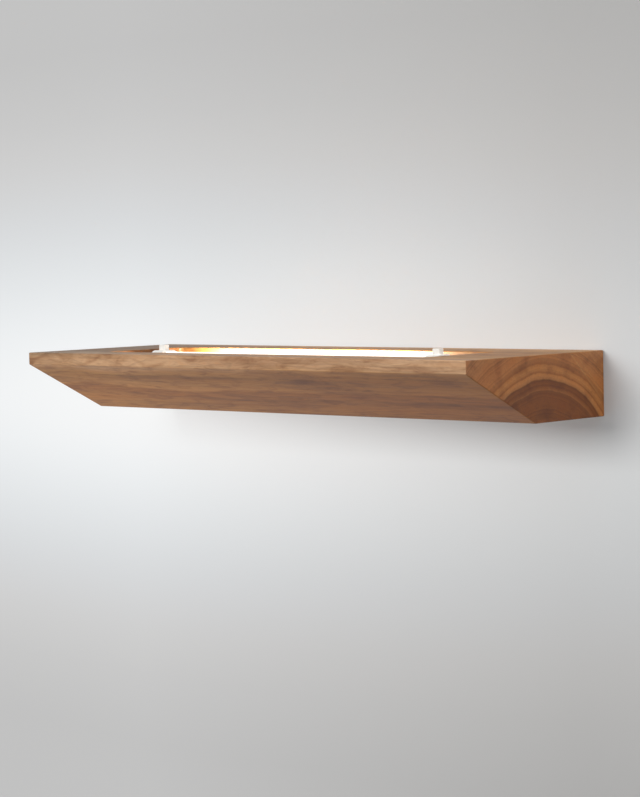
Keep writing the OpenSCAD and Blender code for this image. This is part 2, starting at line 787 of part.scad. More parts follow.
// The earth lead runs from the block's third pole, over the cable bush, to the earth tag
module earth_lead() {
    tag_y = -plate_t - tag_t - mains_r;
    color("yellowgreen") lead([[pole_x[2], pole_y, block_h / 2 - lead_bend],
        [pole_x[2], pole_y, block_h / 2 + lead_bend / 2],
        [pole_x[2] + lead_bend, pole_y, block_h / 2 + lead_bend],
        [-entry_x - lead_bend, pole_y, block_h / 2 + lead_bend],
        [earth_x - 3 * lead_bend, tag_y - lead_bend, block_h / 2 + lead_bend],
        [earth_x - lead_bend / 2, tag_y - fit_gap, tag_r + crimp_l + lead_bend],
        [earth_x, tag_y, tag_r + crimp_l + lead_bend / 3],
        [earth_x, tag_y, tag_r + crimp_l + 2 * fit_gap]], mains_r);
}

// Ring tag crimped on the earth lead
module earth_tag() {
    color("lightgray") {
        into_room(-plate_t, tag_t) difference() {
            union() {
                translate([earth_x, 0]) circle(tag_r);
                translate([earth_x - crimp_l / 2, 0]) square([crimp_l, tag_r + crimp_l]);
            }
            translate([earth_x, 0]) circle(lock_r + screw_gap);
        }
        translate([earth_x, -plate_t - tag_t - mains_r, tag_r + 2 * fit_gap]) difference() {
            cylinder(r = mains_r + 2 * fit_gap, h = crimp_l);
            translate([0, 0, crimp_l - over]) cylinder(r = mains_r - fit_gap, h = 2 * over);
        }
    }
}

module earth_screw() {
    color("goldenrod") translate([earth_x, -plate_t - tag_t, 0]) rotate([90, 0, 0])
        pan_screw(lock_r, lock_head_r - 0.4, plate_t + tag_t);
}

// Plastic bush through which the house cable comes out of the wall
module cable_bush() {
    color("dimgray") translate([-entry_x, 0, entry_z]) rotate([90, 0, 0]) difference() {
        union() {
            cylinder(r = entry_hole_r - fit_gap, h = entry_bush_l);
            translate([0, 0, plate_t]) cylinder(r = entry_flange_r, h = entry_flange_t);
        }
        translate([0, 0, -over]) cylinder(r = entry_bore_r, h = entry_bush_l + 2 * over);
    }
}

// Pressed steel plate: a web on the wall, two hooks above and two tapped tabs below
module wall_plate() {
    color("silver") difference() {
        union() {
            into_room(0, plate_t) translate([0, (ledge_z - plate_down) / 2])
                rounded_rect(plate_l, ledge_z + plate_down, plate_r);
            for (side = [-1, 1]) {
                translate([side * hook_x, 0, 0]) along_x(hook_l) {
                    translate([-hook_reach, ledge_z - plate_t]) square([hook_reach, plate_t]);
                    translate([-hook_reach, ledge_z - plate_t]) square([plate_t, lip_h + plate_t]);
                }
                translate([side * tab_x, 0, -plate_down]) linear_extrude(plate_t) {
                    translate([-tab_w / 2, -tab_reach + tab_w / 4]) square([tab_w, tab_reach - tab_w / 4]);
                    translate([-tab_w / 4, -tab_reach]) square([tab_w / 2, tab_reach]);
                    for (x = [-1, 1])
                        translate([x * tab_w / 4, -tab_reach + tab_w / 4]) circle(tab_w / 4);
                }
            }
        }
        for (side = [-1, 1]) {
            into_room(over, plate_t + 2 * over) translate([side * screw_spacing / 2, 0])
                slot_outline(slot_l, slot_w);
            translate([side * tab_x, -lock_y, -plate_down - over])
                cylinder(r = lock_r + screw_gap, h = plate_t + 2 * over);
        }
        into_room(over, plate_t + 2 * over) {
            translate([-entry_x, entry_z]) circle(entry_hole_r);
            translate([earth_x, 0]) circle(lock_r + screw_gap);
            translate([pole_x[0] + pole_pitch / 2, 0]) circle(clamp_screw_r + screw_gap);
        }
    }
}

// Steel angle under the pocket's ceiling, whose upright flange hangs behind a hook's lip
module hanger_angle(side) {
    difference() {
        translate([side * hook_x, 0, 0]) along_x(angle_l) {
            translate([-angle_depth - hook_reach + plate_t, pocket_ceiling - angle_t]) square([angle_depth + angle_t, angle_t]);
            translate([angle_y, ledge_z]) square([angle_t, pocket_ceiling - ledge_z]);
        }
        for (x = [-1, 1])
            translate([side * hook_x + x * angle_screw_gap / 2, -angle_screw_y, pocket_ceiling - angle_t])
                rotate([180, 0, 0]) flat_hole(wood_r, wood_head_r, angle_t);
    }
}

module hanger_angle_left() {
    color("silver") hanger_angle(-1);
}

module hanger_angle_right() {
    color("silver") hanger_angle(1);
}

module hanger_screws() {
    color("gray") hanger_screw_places() flat_screw(wood_r, wood_head_r, wood_l);
}

// Machine screws that lock the lamp to the wall plate from below
module lock_screws() {
    color("gray") lock_screw_places() pan_screw(lock_r, lock_head_r, lock_l);
}

shelf_beam();
reflector_tray();
tray_screws();
bar_channel();
light_board();
light_chips();
opal_cover();
end_holder_left();
end_holder_right();
holder_screws();
tray_bush();
led_lead_positive();
led_lead_negative();
driver_case();
driver_cover_mains();
driver_cover_low_voltage();
driver_screws();
terminal_block();
terminal_clamps();
terminal_screws();
terminal_fixing_screw();
mains_lead_live();
mains_lead_neutral();
earth_lead();
earth_tag();
earth_screw();
cable_bush();
wall_plate();
hanger_angle_left();
hanger_angle_right();
hanger_screws();
lock_screws();
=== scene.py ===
# Wall lamp with shelf: a solid timber beam with a light bar in a trough in its top.
# X runs along the wall, -Y points into the room, +Z is up and the wall is the plane Y = 0.
# Blender works in metres; sizes here are in millimetres and are multiplied by mm.

import math

import bmesh
import bpy
from mathutils import Matrix, Vector


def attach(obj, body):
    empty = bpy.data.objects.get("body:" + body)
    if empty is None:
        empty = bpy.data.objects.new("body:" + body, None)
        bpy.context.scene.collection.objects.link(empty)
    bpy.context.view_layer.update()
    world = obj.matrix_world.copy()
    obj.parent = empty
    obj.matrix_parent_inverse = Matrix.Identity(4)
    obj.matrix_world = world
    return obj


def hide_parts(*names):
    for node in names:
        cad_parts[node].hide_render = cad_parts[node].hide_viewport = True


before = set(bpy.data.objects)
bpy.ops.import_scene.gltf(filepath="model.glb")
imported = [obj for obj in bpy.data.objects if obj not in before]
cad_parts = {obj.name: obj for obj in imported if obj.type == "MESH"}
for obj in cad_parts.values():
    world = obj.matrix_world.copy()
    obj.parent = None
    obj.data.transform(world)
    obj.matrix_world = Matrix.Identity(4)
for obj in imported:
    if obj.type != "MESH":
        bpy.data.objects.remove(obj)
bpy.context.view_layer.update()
bpy.ops.object.select_all(action="DESELECT")
mm = 0.001

# ---------------------------------------------------------------------------
# Viewpoint: a long lens to the right of the lamp, just above the level of its top,
# so that the end grain and a sliver of the lit trough show.

eye_place = Vector((1.2224, -1.3673, 0.0980))
eye_yaw, eye_pitch, eye_roll = 43.013, -3.512, -1.306
lens_mm, sensor_mm = 106.255, 36

bpy.ops.object.camera_add(location=eye_place)
camera = bpy.context.active_object
camera.name = "photo_camera"
camera.matrix_world = (
    Matrix.Translation(eye_place)
    @ Matrix.Rotation(math.radians(eye_yaw), 4, "Z")
    @ Matrix.Rotation(math.radians(90 + eye_pitch), 4, "X")
    @ Matrix.Rotation(math.radians(eye_roll), 4, "Z")
)
camera.data.sensor_width = sensor_mm
camera.data.lens = lens_mm
camera.data.clip_start = 0.05
bpy.context.scene.camera = camera

# ---------------------------------------------------------------------------
# The room: a smooth painted wall that carries the lamp, and a pale floor far below.
# Both are clear from behind, so that the back of the lamp can be looked at.

room_reach, floor_z = 2.4, -1.5


def hex_colour(code):
    """Turns an sRGB hex value into a linear colour with alpha."""
    parts = [int(code[i : i + 2], 16) / 255 for i in (0, 2, 4)]
    return [c / 12.92 if c <= 0.04045 else ((c + 0.055) / 1.055) ** 2.4 for c in parts] + [1]


def new_material(name):
    """An empty node material."""
    material = bpy.data.materials.new(name)
    material.use_nodes = True
    material.node_tree.nodes.clear()
    return material


def add(material, kind, **parts):
    """Adds a node with its settings and links. A ramp's stops are pairs of a place and a hex colour.
    An input takes a number, a colour, an output, or a node, which stands for its output."""
    node = material.node_tree.nodes.new("ShaderNode" + kind)
    for key, value in parts.items():
        if key == "stops":
            while len(node.color_ramp.elements) < len(value):
                node.color_ramp.elements.new(0.5)
            for element, (spot, colour) in zip(node.color_ramp.elements, value):
                element.position, element.color = spot, hex_colour(colour)
        elif hasattr(node, key):
            setattr(node, key, value)
        else:
            word = key.replace("_", " ")
            socket = node.inputs[int(key[1:])] if key[1:].isdigit() else node.inputs[word]
            if isinstance(value, bpy.types.Node):
                value = next(end for end in value.outputs if end.enabled)
            if isinstance(value, bpy.types.NodeSocket):
                material.node_tree.links.new(value, socket)
            else:
                socket.default_value = value
    return node


def stage_paint_with_painted_light(name, middle, reach, left_share, right_share, stops):
    """Matt paint with a painted pool of light round a point: its tone is brightest there and greyer further
    out.
    It takes real shadows and is clear from behind. A share of it keeps its tone in any light, so that shadows
    grow weaker towards the left."""
    paint = new_material(name)
    place = add(paint, "TexCoord").outputs["Object"]
    centred = add(paint, "Mapping", vector_type="TEXTURE", Vector=place, Location=middle, Scale=reach)
    far = add(paint, "VectorMath", operation="LENGTH", i0=centred).outputs["Value"]
    tone = add(paint, "ValToRGB", Fac=far, stops=stops)
    tone.color_ramp.interpolation = "B_SPLINE"
    left_x, right_x = -0.27, 0.2
    steady = add(paint, "MapRange", Value=add(paint, "SeparateXYZ", Vector=place).outputs["X"],
                 From_Min=left_x, From_Max=right_x, To_Min=left_share, To_Max=right_share)
    rays = add(paint, "LightPath")
    seen = add(paint, "Math", operation="MAXIMUM", i0=rays.outputs["Is Camera Ray"],
               i1=rays.outputs["Is Glossy Ray"])
    share = add(paint, "Math", operation="MULTIPLY", i0=seen, i1=steady)
    matt = add(paint, "BsdfDiffuse", Color=tone)
    glow = add(paint, "Emission", Color=tone, Strength=1.0)
    front = add(paint, "MixShader", i0=share, i1=matt, i2=glow)
    behind = add(paint, "NewGeometry").outputs["Backfacing"]
    both = add(paint, "MixShader", i0=behind, i1=front, i2=add(paint, "BsdfTransparent"))
    add(paint, "OutputMaterial", Surface=both)
    return paint


# The wall is open where the lamp hides it, so that light reaches the back of the lamp too.
hidden_x, hidden_z, hidden_middle_z = 0.2241, 0.0228, 0.00125
behind_lamp, inset = 0.0004, 0.12
bpy.ops.mesh.primitive_plane_add(size=2 * room_reach, location=(0, behind_lamp, hidden_middle_z),
                                 rotation=(math.radians(90), 0, 0))
wall = bpy.context.active_object
wall.name = "room_wall"
bpy.ops.object.transform_apply()
bpy.ops.object.mode_set(mode="EDIT")
bpy.ops.mesh.inset(thickness=inset)
bpy.ops.transform.resize(value=(hidden_x / (room_reach - inset), 1, hidden_z / (room_reach - inset)))
bpy.ops.mesh.delete(type="FACE")
bpy.ops.object.mode_set(mode="OBJECT")
# Painted light: the wall's tones are a pool of light left of the lamp's middle, white there and greyer and
# cooler further out.
wall.data.materials.append(stage_paint_with_painted_light(
    "matt_wall_paint", middle=(-0.2, 0, -0.02), reach=(1.5, 1, 0.3), left_share=0.82, right_share=0.12,
    stops=[(0.0, "fefefe"), (0.14, "f9fbfc"), (0.27, "eff2f4"), (0.41, "e3e6e8"), (0.53, "dbdddf"),
           (0.66, "d4d4d4"), (0.8, "cdcdcd"), (1.0, "c5c5c5")]))
bpy.ops.mesh.primitive_plane_add(size=2 * room_reach, location=(0, -room_reach, floor_z))
floor = bpy.context.active_object
floor.name = "room_floor"
bpy.ops.object.transform_apply()
# Painted light: the floor's tones are a faint pool of light below the lamp.
floor.data.materials.append(stage_paint_with_painted_light(
    "pale_floor_paint", middle=(0, 0, floor_z), reach=(3, 3, 3), left_share=0.6, right_share=0.6,
    stops=[(0.0, "dedcd8"), (1.0, "d2d0cc")]))


def add_window(name, place, size, power, colour, aim):
    """A square soft light that faces a point."""
    bpy.ops.object.light_add(type="AREA", location=place)
    lamp = bpy.context.active_object
    lamp.name = name
    lamp.data.size = size
    lamp.data.energy = power
    lamp.data.color = hex_colour(colour)[:3]
    lamp.rotation_euler = (Vector(aim) - Vector(place)).to_track_quat("-Z", "Y").to_euler()
    return lamp


# A window in front throws the lamp's narrow shadow, and one behind the wall lights its back.
# Weaker ones at the right, above and below light the lamp alone, as they would rake along the wall.
lamp_middle = (0, -0.08, 0)
add_window("front_window", (-0.22, -2.05, 0.54), size=0.75, power=24, colour="fcfaf7", aim=lamp_middle)
add_window("back_window", (0.5, 1.5, 0.7), size=1.2, power=16, colour="fffaf4", aim=(0, 0, 0))
room = bpy.data.collections.new("room_without_lamp_light")
room.objects.link(wall)
room.objects.link(floor)
for member in room.collection_objects:
    member.light_linking.link_state = "EXCLUDE"
for name, place, size, power, colour in (
        ("side_window", (2.0, -0.4, 0.35), 0.9, 5.6, "ffe9d2"),
        ("ceiling_light", (0.9, -0.4, 1.2), 0.6, 9, "fffaf4"),
        ("floor_bounce", (-0.5, -0.5, -1.0), 0.8, 5, "ffe8d0")):
    add_window(name, place, size, power, colour, lamp_middle).light_linking.receiver_collection = room
world = bpy.data.worlds.new("even_room_light")
bpy.context.scene.world = world
world.use_nodes = True
sky = world.node_tree.nodes["Background"]
sky.inputs["Color"].default_value = hex_colour("eceef0")
sky.inputs["Strength"].default_value = 0.35
bpy.context.scene.view_settings.view_transform = "Standard"

# ---------------------------------------------------------------------------
# Shelf beam: one piece of solid hardwood, sawn to a five-sided section, planed, sanded and
# oiled. A router cut the trough in its top and the pocket in its back, and left their corners
# round. Drilled holes take the wires and the screws.

half_length = 225
nose_y, foot_y, nose_low_z = -155, -80, 15.5
top_z, bottom_z = 25, -22.5
arris = 0.8
trough_x, trough_front, trough_back, trough_floor, trough_r = 163.5, -124, -46, 10, 4
pocket_x, pocket_y, pocket_z, pocket_r = 130, -38, 14, 5
rim = 0.5
way_x, way_y, way_z, way_r = 122, -60, -4, 4
recess_r, recess_depth = 6.1, 1.1
pilot_r, pilot_depth = 1.55, 8.1
bar_y, base_y, ear_x = -85, -36, (-4, 112)
screw_x, tray_screw_y, holder_screw_y = 153.5, (-114, -56), (bar_y - 6.5, bar_y + 6.5)
hook_x, angle_screw_dx, angle_screw_y, angle_z = 84, 10, -11.5, 12.5
tab_x, lock_y, lock_seat_z, lock_hole_r, counterbore_r = 96, -9, -18.5, 2.3, 4.1


def block(name, low, high):
    """Adds a cube between two corners, as the start of a piece."""
    low, high = Vector(low) * mm, Vector(high) * mm
    bpy.ops.object.select_all(action="DESELECT")
    bpy.ops.mesh.primitive_cube_add(size=1, location=(low + high) / 2, scale=high - low)
    bpy.ops.object.transform_apply()
    bpy.context.active_object.name = name
    return bpy.context.active_object


def rod(name, foot, head, radius, top_radius=None, sides=32):
    """Adds a cylinder, or a cone, from one point to another, as the start of a piece."""
    foot, head = Vector(foot) * mm, Vector(head) * mm
    along = head - foot
    end_radius = radius if top_radius is None else top_radius
    bpy.ops.object.select_all(action="DESELECT")
    bpy.ops.mesh.primitive_cone_add(
        vertices=sides, radius1=radius * mm, radius2=end_radius * mm, depth=along.length,
        location=(foot + head) / 2, rotation=along.to_track_quat("Z", "Y").to_euler())
    bpy.ops.object.transform_apply()
    bpy.context.active_object.name = name
    return bpy.context.active_object


def pick(piece, kind, test):
    """Opens a piece for editing and selects faces, edges or points by their place and direction."""
    bpy.context.view_layer.objects.active = piece
    bpy.ops.object.mode_set(mode="EDIT")
    bpy.ops.mesh.select_mode(type=kind)
    bpy.ops.mesh.select_all(action="DESELECT")
    mesh = bmesh.from_edit_mesh(piece.data)
    if kind == "FACE":
        chosen = [f for f in mesh.faces if test(f.calc_center_median() / mm, f.normal)]
    elif kind == "EDGE":
        chosen = [e for e in mesh.edges if test((e.verts[0].co + e.verts[1].co) / 2 / mm,
                                                (e.verts[1].co - e.verts[0].co).normalized())]
    else:
        chosen = [v for v in mesh.verts if test(v.co / mm, v.normal)]
    for part in chosen:
        part.select_set(True)
    mesh.select_flush_mode()
    bmesh.update_edit_mesh(piece.data)
    return len(chosen)


def leave():
    """Closes a piece after editing."""
    bpy.ops.object.mode_set(mode="OBJECT")


def bevel(piece, width, steps, test):
    """Rounds the edges that pass a test."""
    if pick(piece, "EDGE", test):
        bpy.ops.mesh.bevel(offset=width * mm, segments=steps, affect="EDGES")
    leave()


def saw(piece, point, outward):
    """Saws off what lies beyond a plane and closes the cut."""
    pick(piece, "VERT", lambda at, way: True)
    bpy.ops.mesh.bisect(plane_co=Vector(point) * mm, plane_no=Vector(outward).normalized(),
                        use_fill=True, clear_outer=True, threshold=0.001 * mm)
    leave()


def modify(piece, kind, **settings):
    """Adds a modifier with its settings and applies it."""
    modifier = piece.modifiers.new(kind.lower(), kind)
    for key, value in settings.items():
        setattr(modifier, key, value)
    bpy.context.view_layer.objects.active = piece
    bpy.ops.object.modifier_apply(modifier=modifier.name)


def combine(piece, tools, operation="DIFFERENCE"):
    """Cuts shapes out of a piece, or joins them to it, and clears the shapes away."""
    for tool in tools:
        modify(piece, "BOOLEAN", operation=operation, solver="EXACT", object=tool)
        bpy.data.objects.remove(tool)


def finish(piece, *materials):
    """Closes doubled points, shades rounded edges smooth and flat faces flat, and adds the finish."""
    pick(piece, "VERT", lambda at, way: True)
    bpy.ops.mesh.remove_doubles(threshold=0.002 * mm)
    bpy.ops.mesh.normals_make_consistent(inside=False)
    leave()
    bpy.ops.object.select_all(action="DESELECT")
    piece.select_set(True)
    bpy.ops.object.shade_smooth_by_angle(angle=math.radians(38))
    modify(piece, "WEIGHTED_NORMAL", keep_sharp=True)
    for material in materials:
        piece.data.materials.append(material)


def upright(at, way):
    """True for an edge or a normal along Z."""
    return abs(way.z) > 0.99


beam = block("oiled_timber_beam", (-half_length, nose_y, bottom_z), (half_length, 0, top_z))
saw(beam, (0, foot_y, bottom_z), (0, bottom_z - nose_low_z, nose_y - foot_y))
bevel(beam, arris, 3, lambda at, way: True)

# The cutters of trough and pocket widen at their mouths, which breaks the edges there.
trough_cut = block("trough_cut", (-trough_x, trough_front, trough_floor),
                   (trough_x, trough_back, top_z - rim))
bevel(trough_cut, trough_r, 8, upright)
pick(trough_cut, "FACE", lambda at, way: way.z > 0.99)
bpy.ops.mesh.extrude_region_move(TRANSFORM_OT_translate={"value": (0, 0, 2 * rim * mm)})
bpy.ops.transform.resize(value=(1 + 2 * rim / trough_x, 1 + 4 * rim / (trough_back - trough_front), 1))
leave()
pocket_cut = block("pocket_cut", (-pocket_x, pocket_y, -pocket_z), (pocket_x, -rim, pocket_z))
bevel(pocket_cut, pocket_r, 8, lambda at, way: abs(way.y) > 0.99)
pick(pocket_cut, "FACE", lambda at, way: way.y > 0.99)
bpy.ops.mesh.extrude_region_move(TRANSFORM_OT_translate={"value": (0, 2 * rim * mm, 0)})
bpy.ops.transform.resize(value=(1 + 2 * rim / pocket_x, 1, 1 + 2 * rim / pocket_z))
leave()
# Every drill runs a millimetre past the face that it leaves.
over_floor, in_pocket, below_beam = trough_floor + 1, pocket_y + 1, bottom_z - 1
combine(beam, [
    trough_cut, pocket_cut,
    rod("upright_bore", (way_x, way_y, way_z), (way_x, way_y, over_floor), way_r),
    rod("cross_bore", (way_x, in_pocket, way_z), (way_x, way_y - way_r, way_z), way_r),
    rod("bush_recess", (way_x, way_y, trough_floor - recess_depth), (way_x, way_y, over_floor), recess_r)])
for side in (-1, 1):
    x = side * screw_x
    combine(beam, [rod("pilot", (x, y, over_floor - pilot_depth), (x, y, over_floor), pilot_r, sides=16)
                   for y in tray_screw_y + holder_screw_y])
    combine(beam, [rod("pilot", (x, angle_screw_y, pocket_z - 1), (x, angle_screw_y, angle_z + pilot_depth),
                       pilot_r, sides=16)
                   for x in (side * hook_x - angle_screw_dx, side * hook_x + angle_screw_dx)])
    x = side * tab_x
    combine(beam, [
        rod("lock_hole", (x, lock_y, 1 - pocket_z), (x, lock_y, below_beam), lock_hole_r, sides=24),
        rod("counterbore", (x, lock_y, lock_seat_z), (x, lock_y, below_beam), counterbore_r)])
combine(beam, [rod("pilot", (x, in_pocket, 0), (x, base_y - pilot_depth, 0), pilot_r, sides=16)
               for x in ear_x])

# Oiled hardwood: rings round one heart below the beam run through its faces and its ends. The
# faces are tan with fine brown streaks, and the ends darker and redder, with a brown core.
heart_y, heart_z = -72, -81
ring_mm, fibre_mm, pore_mm = 5.2, 1.6, 0.45
branch, branch_reach = (66, -137, 6), (85, 18, 16)
timber = new_material("oiled_hardwood")
in_mm = add(timber, "VectorMath", operation="SCALE", i0=add(timber, "TexCoord").outputs["Object"],
            Scale=1 / mm)
split = add(timber, "SeparateXYZ", Vector=in_mm)

# The trunk is not straight: its heart wanders, most of all towards the left end.
bends = add(timber, "TexNoise", Scale=1.0, Detail=4.0, Roughness=0.55,
            Vector=add(timber, "Mapping", Vector=in_mm, Scale=(1 / 150, 1 / 55, 1 / 55)))
shift = add(timber, "SeparateXYZ", Vector=add(timber, "VectorMath", operation="SUBTRACT",
                                              i0=bends.outputs["Color"], i1=(0.5, 0.5, 0.5)))
slack = add(timber, "MapRange", Value=split.outputs["X"], From_Min=-half_length, From_Max=half_length,
            To_Min=46.0, To_Max=9.0)
from_heart_y = add(timber, "Math", operation="MULTIPLY_ADD", i0=shift.outputs["X"], i1=slack,
                   i2=add(timber, "Math", operation="SUBTRACT", i0=split.outputs["Y"], i1=heart_y))
from_heart_z = add(timber, "Math", operation="MULTIPLY_ADD", i0=shift.outputs["Y"], i1=slack,
                   i2=add(timber, "Math", operation="SUBTRACT", i0=split.outputs["Z"], i1=heart_z))
radius = add(timber, "VectorMath", operation="LENGTH",
             i0=add(timber, "CombineXYZ", Y=from_heart_y, Z=from_heart_z)).outputs["Value"]

# Good and poor years give rings of uneven width.
years = add(timber, "TexNoise", noise_dimensions="1D", Scale=1.0, Detail=3.0, Roughness=0.6,
            W=add(timber, "Math", operation="MULTIPLY", i0=radius, i1=0.11))
grown = add(timber, "Math", operation="MULTIPLY_ADD", i0=years, i1=16.0, i2=radius)
# A branch once grew close to the nose: the rings bulge round it, and the wood there is darker.
near_branch = add(timber, "VectorMath", operation="LENGTH", i0=add(
    timber, "Mapping", vector_type="TEXTURE", Vector=in_mm, Location=branch, Scale=branch_reach,
    Rotation=(0, math.radians(11), math.radians(23)))).outputs["Value"]
bulge = add(timber, "MapRange", interpolation_type="SMOOTHSTEP", Value=near_branch, From_Min=1.0,
            From_Max=0.0)
grown = add(timber, "Math", operation="MULTIPLY_ADD", i0=bulge, i1=14.0, i2=grown)
ring = add(timber, "Math", operation="FRACT",
           i0=add(timber, "Math", operation="DIVIDE", i0=grown, i1=ring_mm))
age = add(timber, "MapRange", Value=radius, From_Min=55.0, From_Max=140.0)
normal = add(timber, "SeparateXYZ", Vector=add(timber, "NewGeometry").outputs["Normal"])
end_cut = add(timber, "Math", operation="POWER", i1=3.0,
              i0=add(timber, "Math", operation="ABSOLUTE", i0=normal.outputs["X"]))

# Colours along the fibres, and the darker, redder ones across them, from the heart outwards.
base = add(timber, "Mix", data_type="RGBA", i0=end_cut,
           i6=add(timber, "ValToRGB", Fac=age, stops=[
               (0.00, "ad7b42"), (0.15, "b37e41"), (0.30, "a87238"), (0.41, "a56f36"), (0.45, "bc8950"),
               (0.54, "b8874e"), (0.60, "a9773e"), (0.70, "ae7f46"), (0.79, "b98c5a"), (0.85, "c7a07b"),
               (1.00, "cba583")]),
           i7=add(timber, "ValToRGB", Fac=age, stops=[
               (0.00, "834b1b"), (0.15, "7b4518"), (0.29, "7d461a"), (0.315, "8e5729"), (0.345, "7a4418"),
               (0.39, "774217"), (0.405, "b07642"), (0.44, "ae723b"), (0.45, "8f5628"), (0.475, "b2763e"),
               (0.51, "ac7039"), (0.52, "93592a"), (0.55, "ac6f3b"), (0.66, "a86b3a"), (0.80, "a66f42"),
               (1.00, "ac774c")]))
# Near the bark side of the ends the rings run straight, with pale yellow lines between them.
bark_side = add(timber, "VectorMath", operation="DOT_PRODUCT", i0=in_mm, i1=(0, 0.69, 0.727)).outputs["Value"]
bark_side = add(timber, "MapRange", Value=bark_side, From_Min=-14.0, From_Max=20.0)
pale_line = add(timber, "ValToRGB", Fac=bark_side, stops=[
    (0.0, "000000"), (0.11, "000000"), (0.135, "c0c0c0"), (0.17, "484848"), (0.23, "606060"),
    (0.255, "b0b0b0"), (0.28, "505050"), (0.55, "606060"), (0.58, "a0a0a0"), (0.62, "505050"),
    (1.0, "585858")])
base = add(timber, "Mix", data_type="RGBA", i6=base, i7=hex_colour("c39a5e"),
           i0=add(timber, "Math", operation="MULTIPLY", i0=end_cut, i1=add(
               timber, "Math", operation="MULTIPLY", i0=pale_line, i1=0.55)))
# A ring darkens slowly and stops at a sharp line of late wood.
late_wood = add(timber, "ValToRGB", Fac=ring, stops=[
    (0.0, "ffffff"), (0.55, "f2f2f2"), (0.86, "cfcfcf"), (0.93, "a8a8a8"), (1.0, "f4f4f4")])
late_share = add(timber, "MapRange", Value=end_cut, To_Min=0.32, To_Max=0.50)
# Painted shade: the faces that look down, the undercut front and the bottom, are tinted darker and warmer,
# more so towards the right end.
painted_underside_shade = add(timber, "Math", operation="MULTIPLY",
               i0=add(timber, "MapRange", Value=normal.outputs["Z"], From_Min=-0.3, From_Max=-0.8),
               i1=add(timber, "MapRange", Value=split.outputs["X"], From_Min=-half_length, From_Max=160.0))
branch_share = add(timber, "Math", operation="MULTIPLY", i0=bulge, i1=0.7)
# Curly patches, pale and dark, where the fibres lean in and out of the surface.
curl = add(timber, "TexNoise", Scale=1.0, Detail=3.0, Roughness=0.6, Distortion=0.8,
           Vector=add(timber, "Mapping", Vector=in_mm, Scale=(1 / 26, 1 / 7, 1 / 7)))
curly = add(timber, "ValToRGB", Fac=curl, stops=[
    (0.32, "c4ae9e"), (0.46, "ece4da"), (0.58, "ffffff"), (0.7, "fff6ea")])
curl_share = add(timber, "MapRange", Value=end_cut, To_Min=0.8, To_Max=0.15)
# The top is tinted greyer and darker towards its left end.
greyer_top_left = add(timber, "Math", operation="MULTIPLY",
           i0=add(timber, "MapRange", Value=split.outputs["Z"], From_Min=20.0, From_Max=top_z),
           i1=add(timber, "MapRange", Value=split.outputs["X"], From_Min=-60.0, From_Max=-200.0))
# Fibres 1.6 mm apart are long hairlines on the faces and dots on the ends.
fibre = add(timber, "TexNoise", Scale=1.0, Detail=4.0, Roughness=0.65,
            Vector=add(timber, "Mapping", Vector=in_mm, Scale=(1 / 70, 1 / fibre_mm, 1 / fibre_mm)))
hairline = add(timber, "ValToRGB", Fac=fibre, stops=[(0.30, "b4b4b4"), (0.52, "ffffff"), (0.75, "e6e6e6")])
# Broad stripes, where sap settled unevenly.
sap = add(timber, "TexNoise", Scale=1.0, Detail=2.0,
          Vector=add(timber, "Mapping", Vector=in_mm, Location=(0.3, 0, 0), Scale=(1 / 240, 1 / 14, 1 / 11)))
stripe = add(timber, "ValToRGB", Fac=sap, stops=[(0.32, "b9a08e"), (0.5, "ffffff"), (0.68, "fff0da")])
# Open pores half a millimetre wide, cut lengthways into short dark dashes.
pore = add(timber, "TexNoise", Scale=1.0, Detail=2.0, Roughness=0.5,
           Vector=add(timber, "Mapping", Vector=in_mm, Scale=(1 / 9, 1 / pore_mm, 1 / pore_mm)))
dash = add(timber, "ValToRGB", Fac=pore, stops=[(0.0, "ffffff"), (0.64, "ffffff"), (0.72, "6a5040")])
# Each of these tints the wood below it, by its own share.
# The underside tint among these is painted shade, not a colour of the wood.
for share, tint in (
        (late_share, late_wood), (painted_underside_shade, hex_colour("d6c29a")), (branch_share, hex_colour("cbb8a8")),
        (curl_share, curly), (greyer_top_left, hex_colour("c8ccce")), (0.42, hairline), (0.5, stripe), (0.35, dash)):
    base = add(timber, "Mix", data_type="RGBA", blend_type="MULTIPLY", i0=share, i6=base, i7=tint)
# Sanded and oiled: the soft early wood lies a little deeper, and the oil dries to a satin.
hollows = add(timber, "Math", operation="MULTIPLY_ADD", i0=fibre, i1=0.6,
              i2=add(timber, "Math", operation="MULTIPLY", i0=ring, i1=0.4))
relief = add(timber, "Bump", Strength=0.25, Distance=0.15 * mm, Height=hollows)
satin = add(timber, "MapRange", Value=fibre, To_Min=0.44, To_Max=0.62)
skin = add(timber, "BsdfPrincipled", Base_Color=base, Roughness=satin, IOR=1.47, Normal=relief)
add(timber, "OutputMaterial", Surface=skin)

finish(beam, timber)
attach(beam, "root")
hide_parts("shelf_beam")

# ---------------------------------------------------------------------------
# Reflector tray: a shallow tray pressed from 1 mm sheet steel, with turned-up edges and round
# corners, powder-coated white. Four screws at its corners hold it to the floor of the trough,
# and it throws the light of the bar upwards.

sheet_t, tray_gap, tray_top, corner_r, fold_r = 1, 2, 16, 2.2, 1.5
tray = block("pressed_steel_tray", (tray_gap - trough_x, trough_front + tray_gap, trough_floor),
             (trough_x - tray_gap, trough_back - tray_gap, tray_top))
pick(tray, "FACE", lambda at, way: way.z > 0.99)
bpy.ops.mesh.delete(type="FACE")
leave()
bevel(tray, corner_r, 6, upright)
bevel(tray, fold_r, 4, lambda at, way: at.z < trough_floor + 0.01)
modify(tray, "SOLIDIFY", thickness=sheet_t * mm, offset=-1, use_even_offset=True)
bevel(tray, 0.25, 2, lambda at, way: at.z > tray_top - 0.01 and abs(way.z) < 0.01)
tray_screw_places = [(x, y) for x in (-screw_x, screw_x) for y in tray_screw_y]
holder_screw_places = [(x, y) for x in (-screw_x, screw_x) for y in holder_screw_y]
below_tray, above_tray, bush_hole_r = trough_floor - 1, trough_floor + sheet_t + 1, 4.5
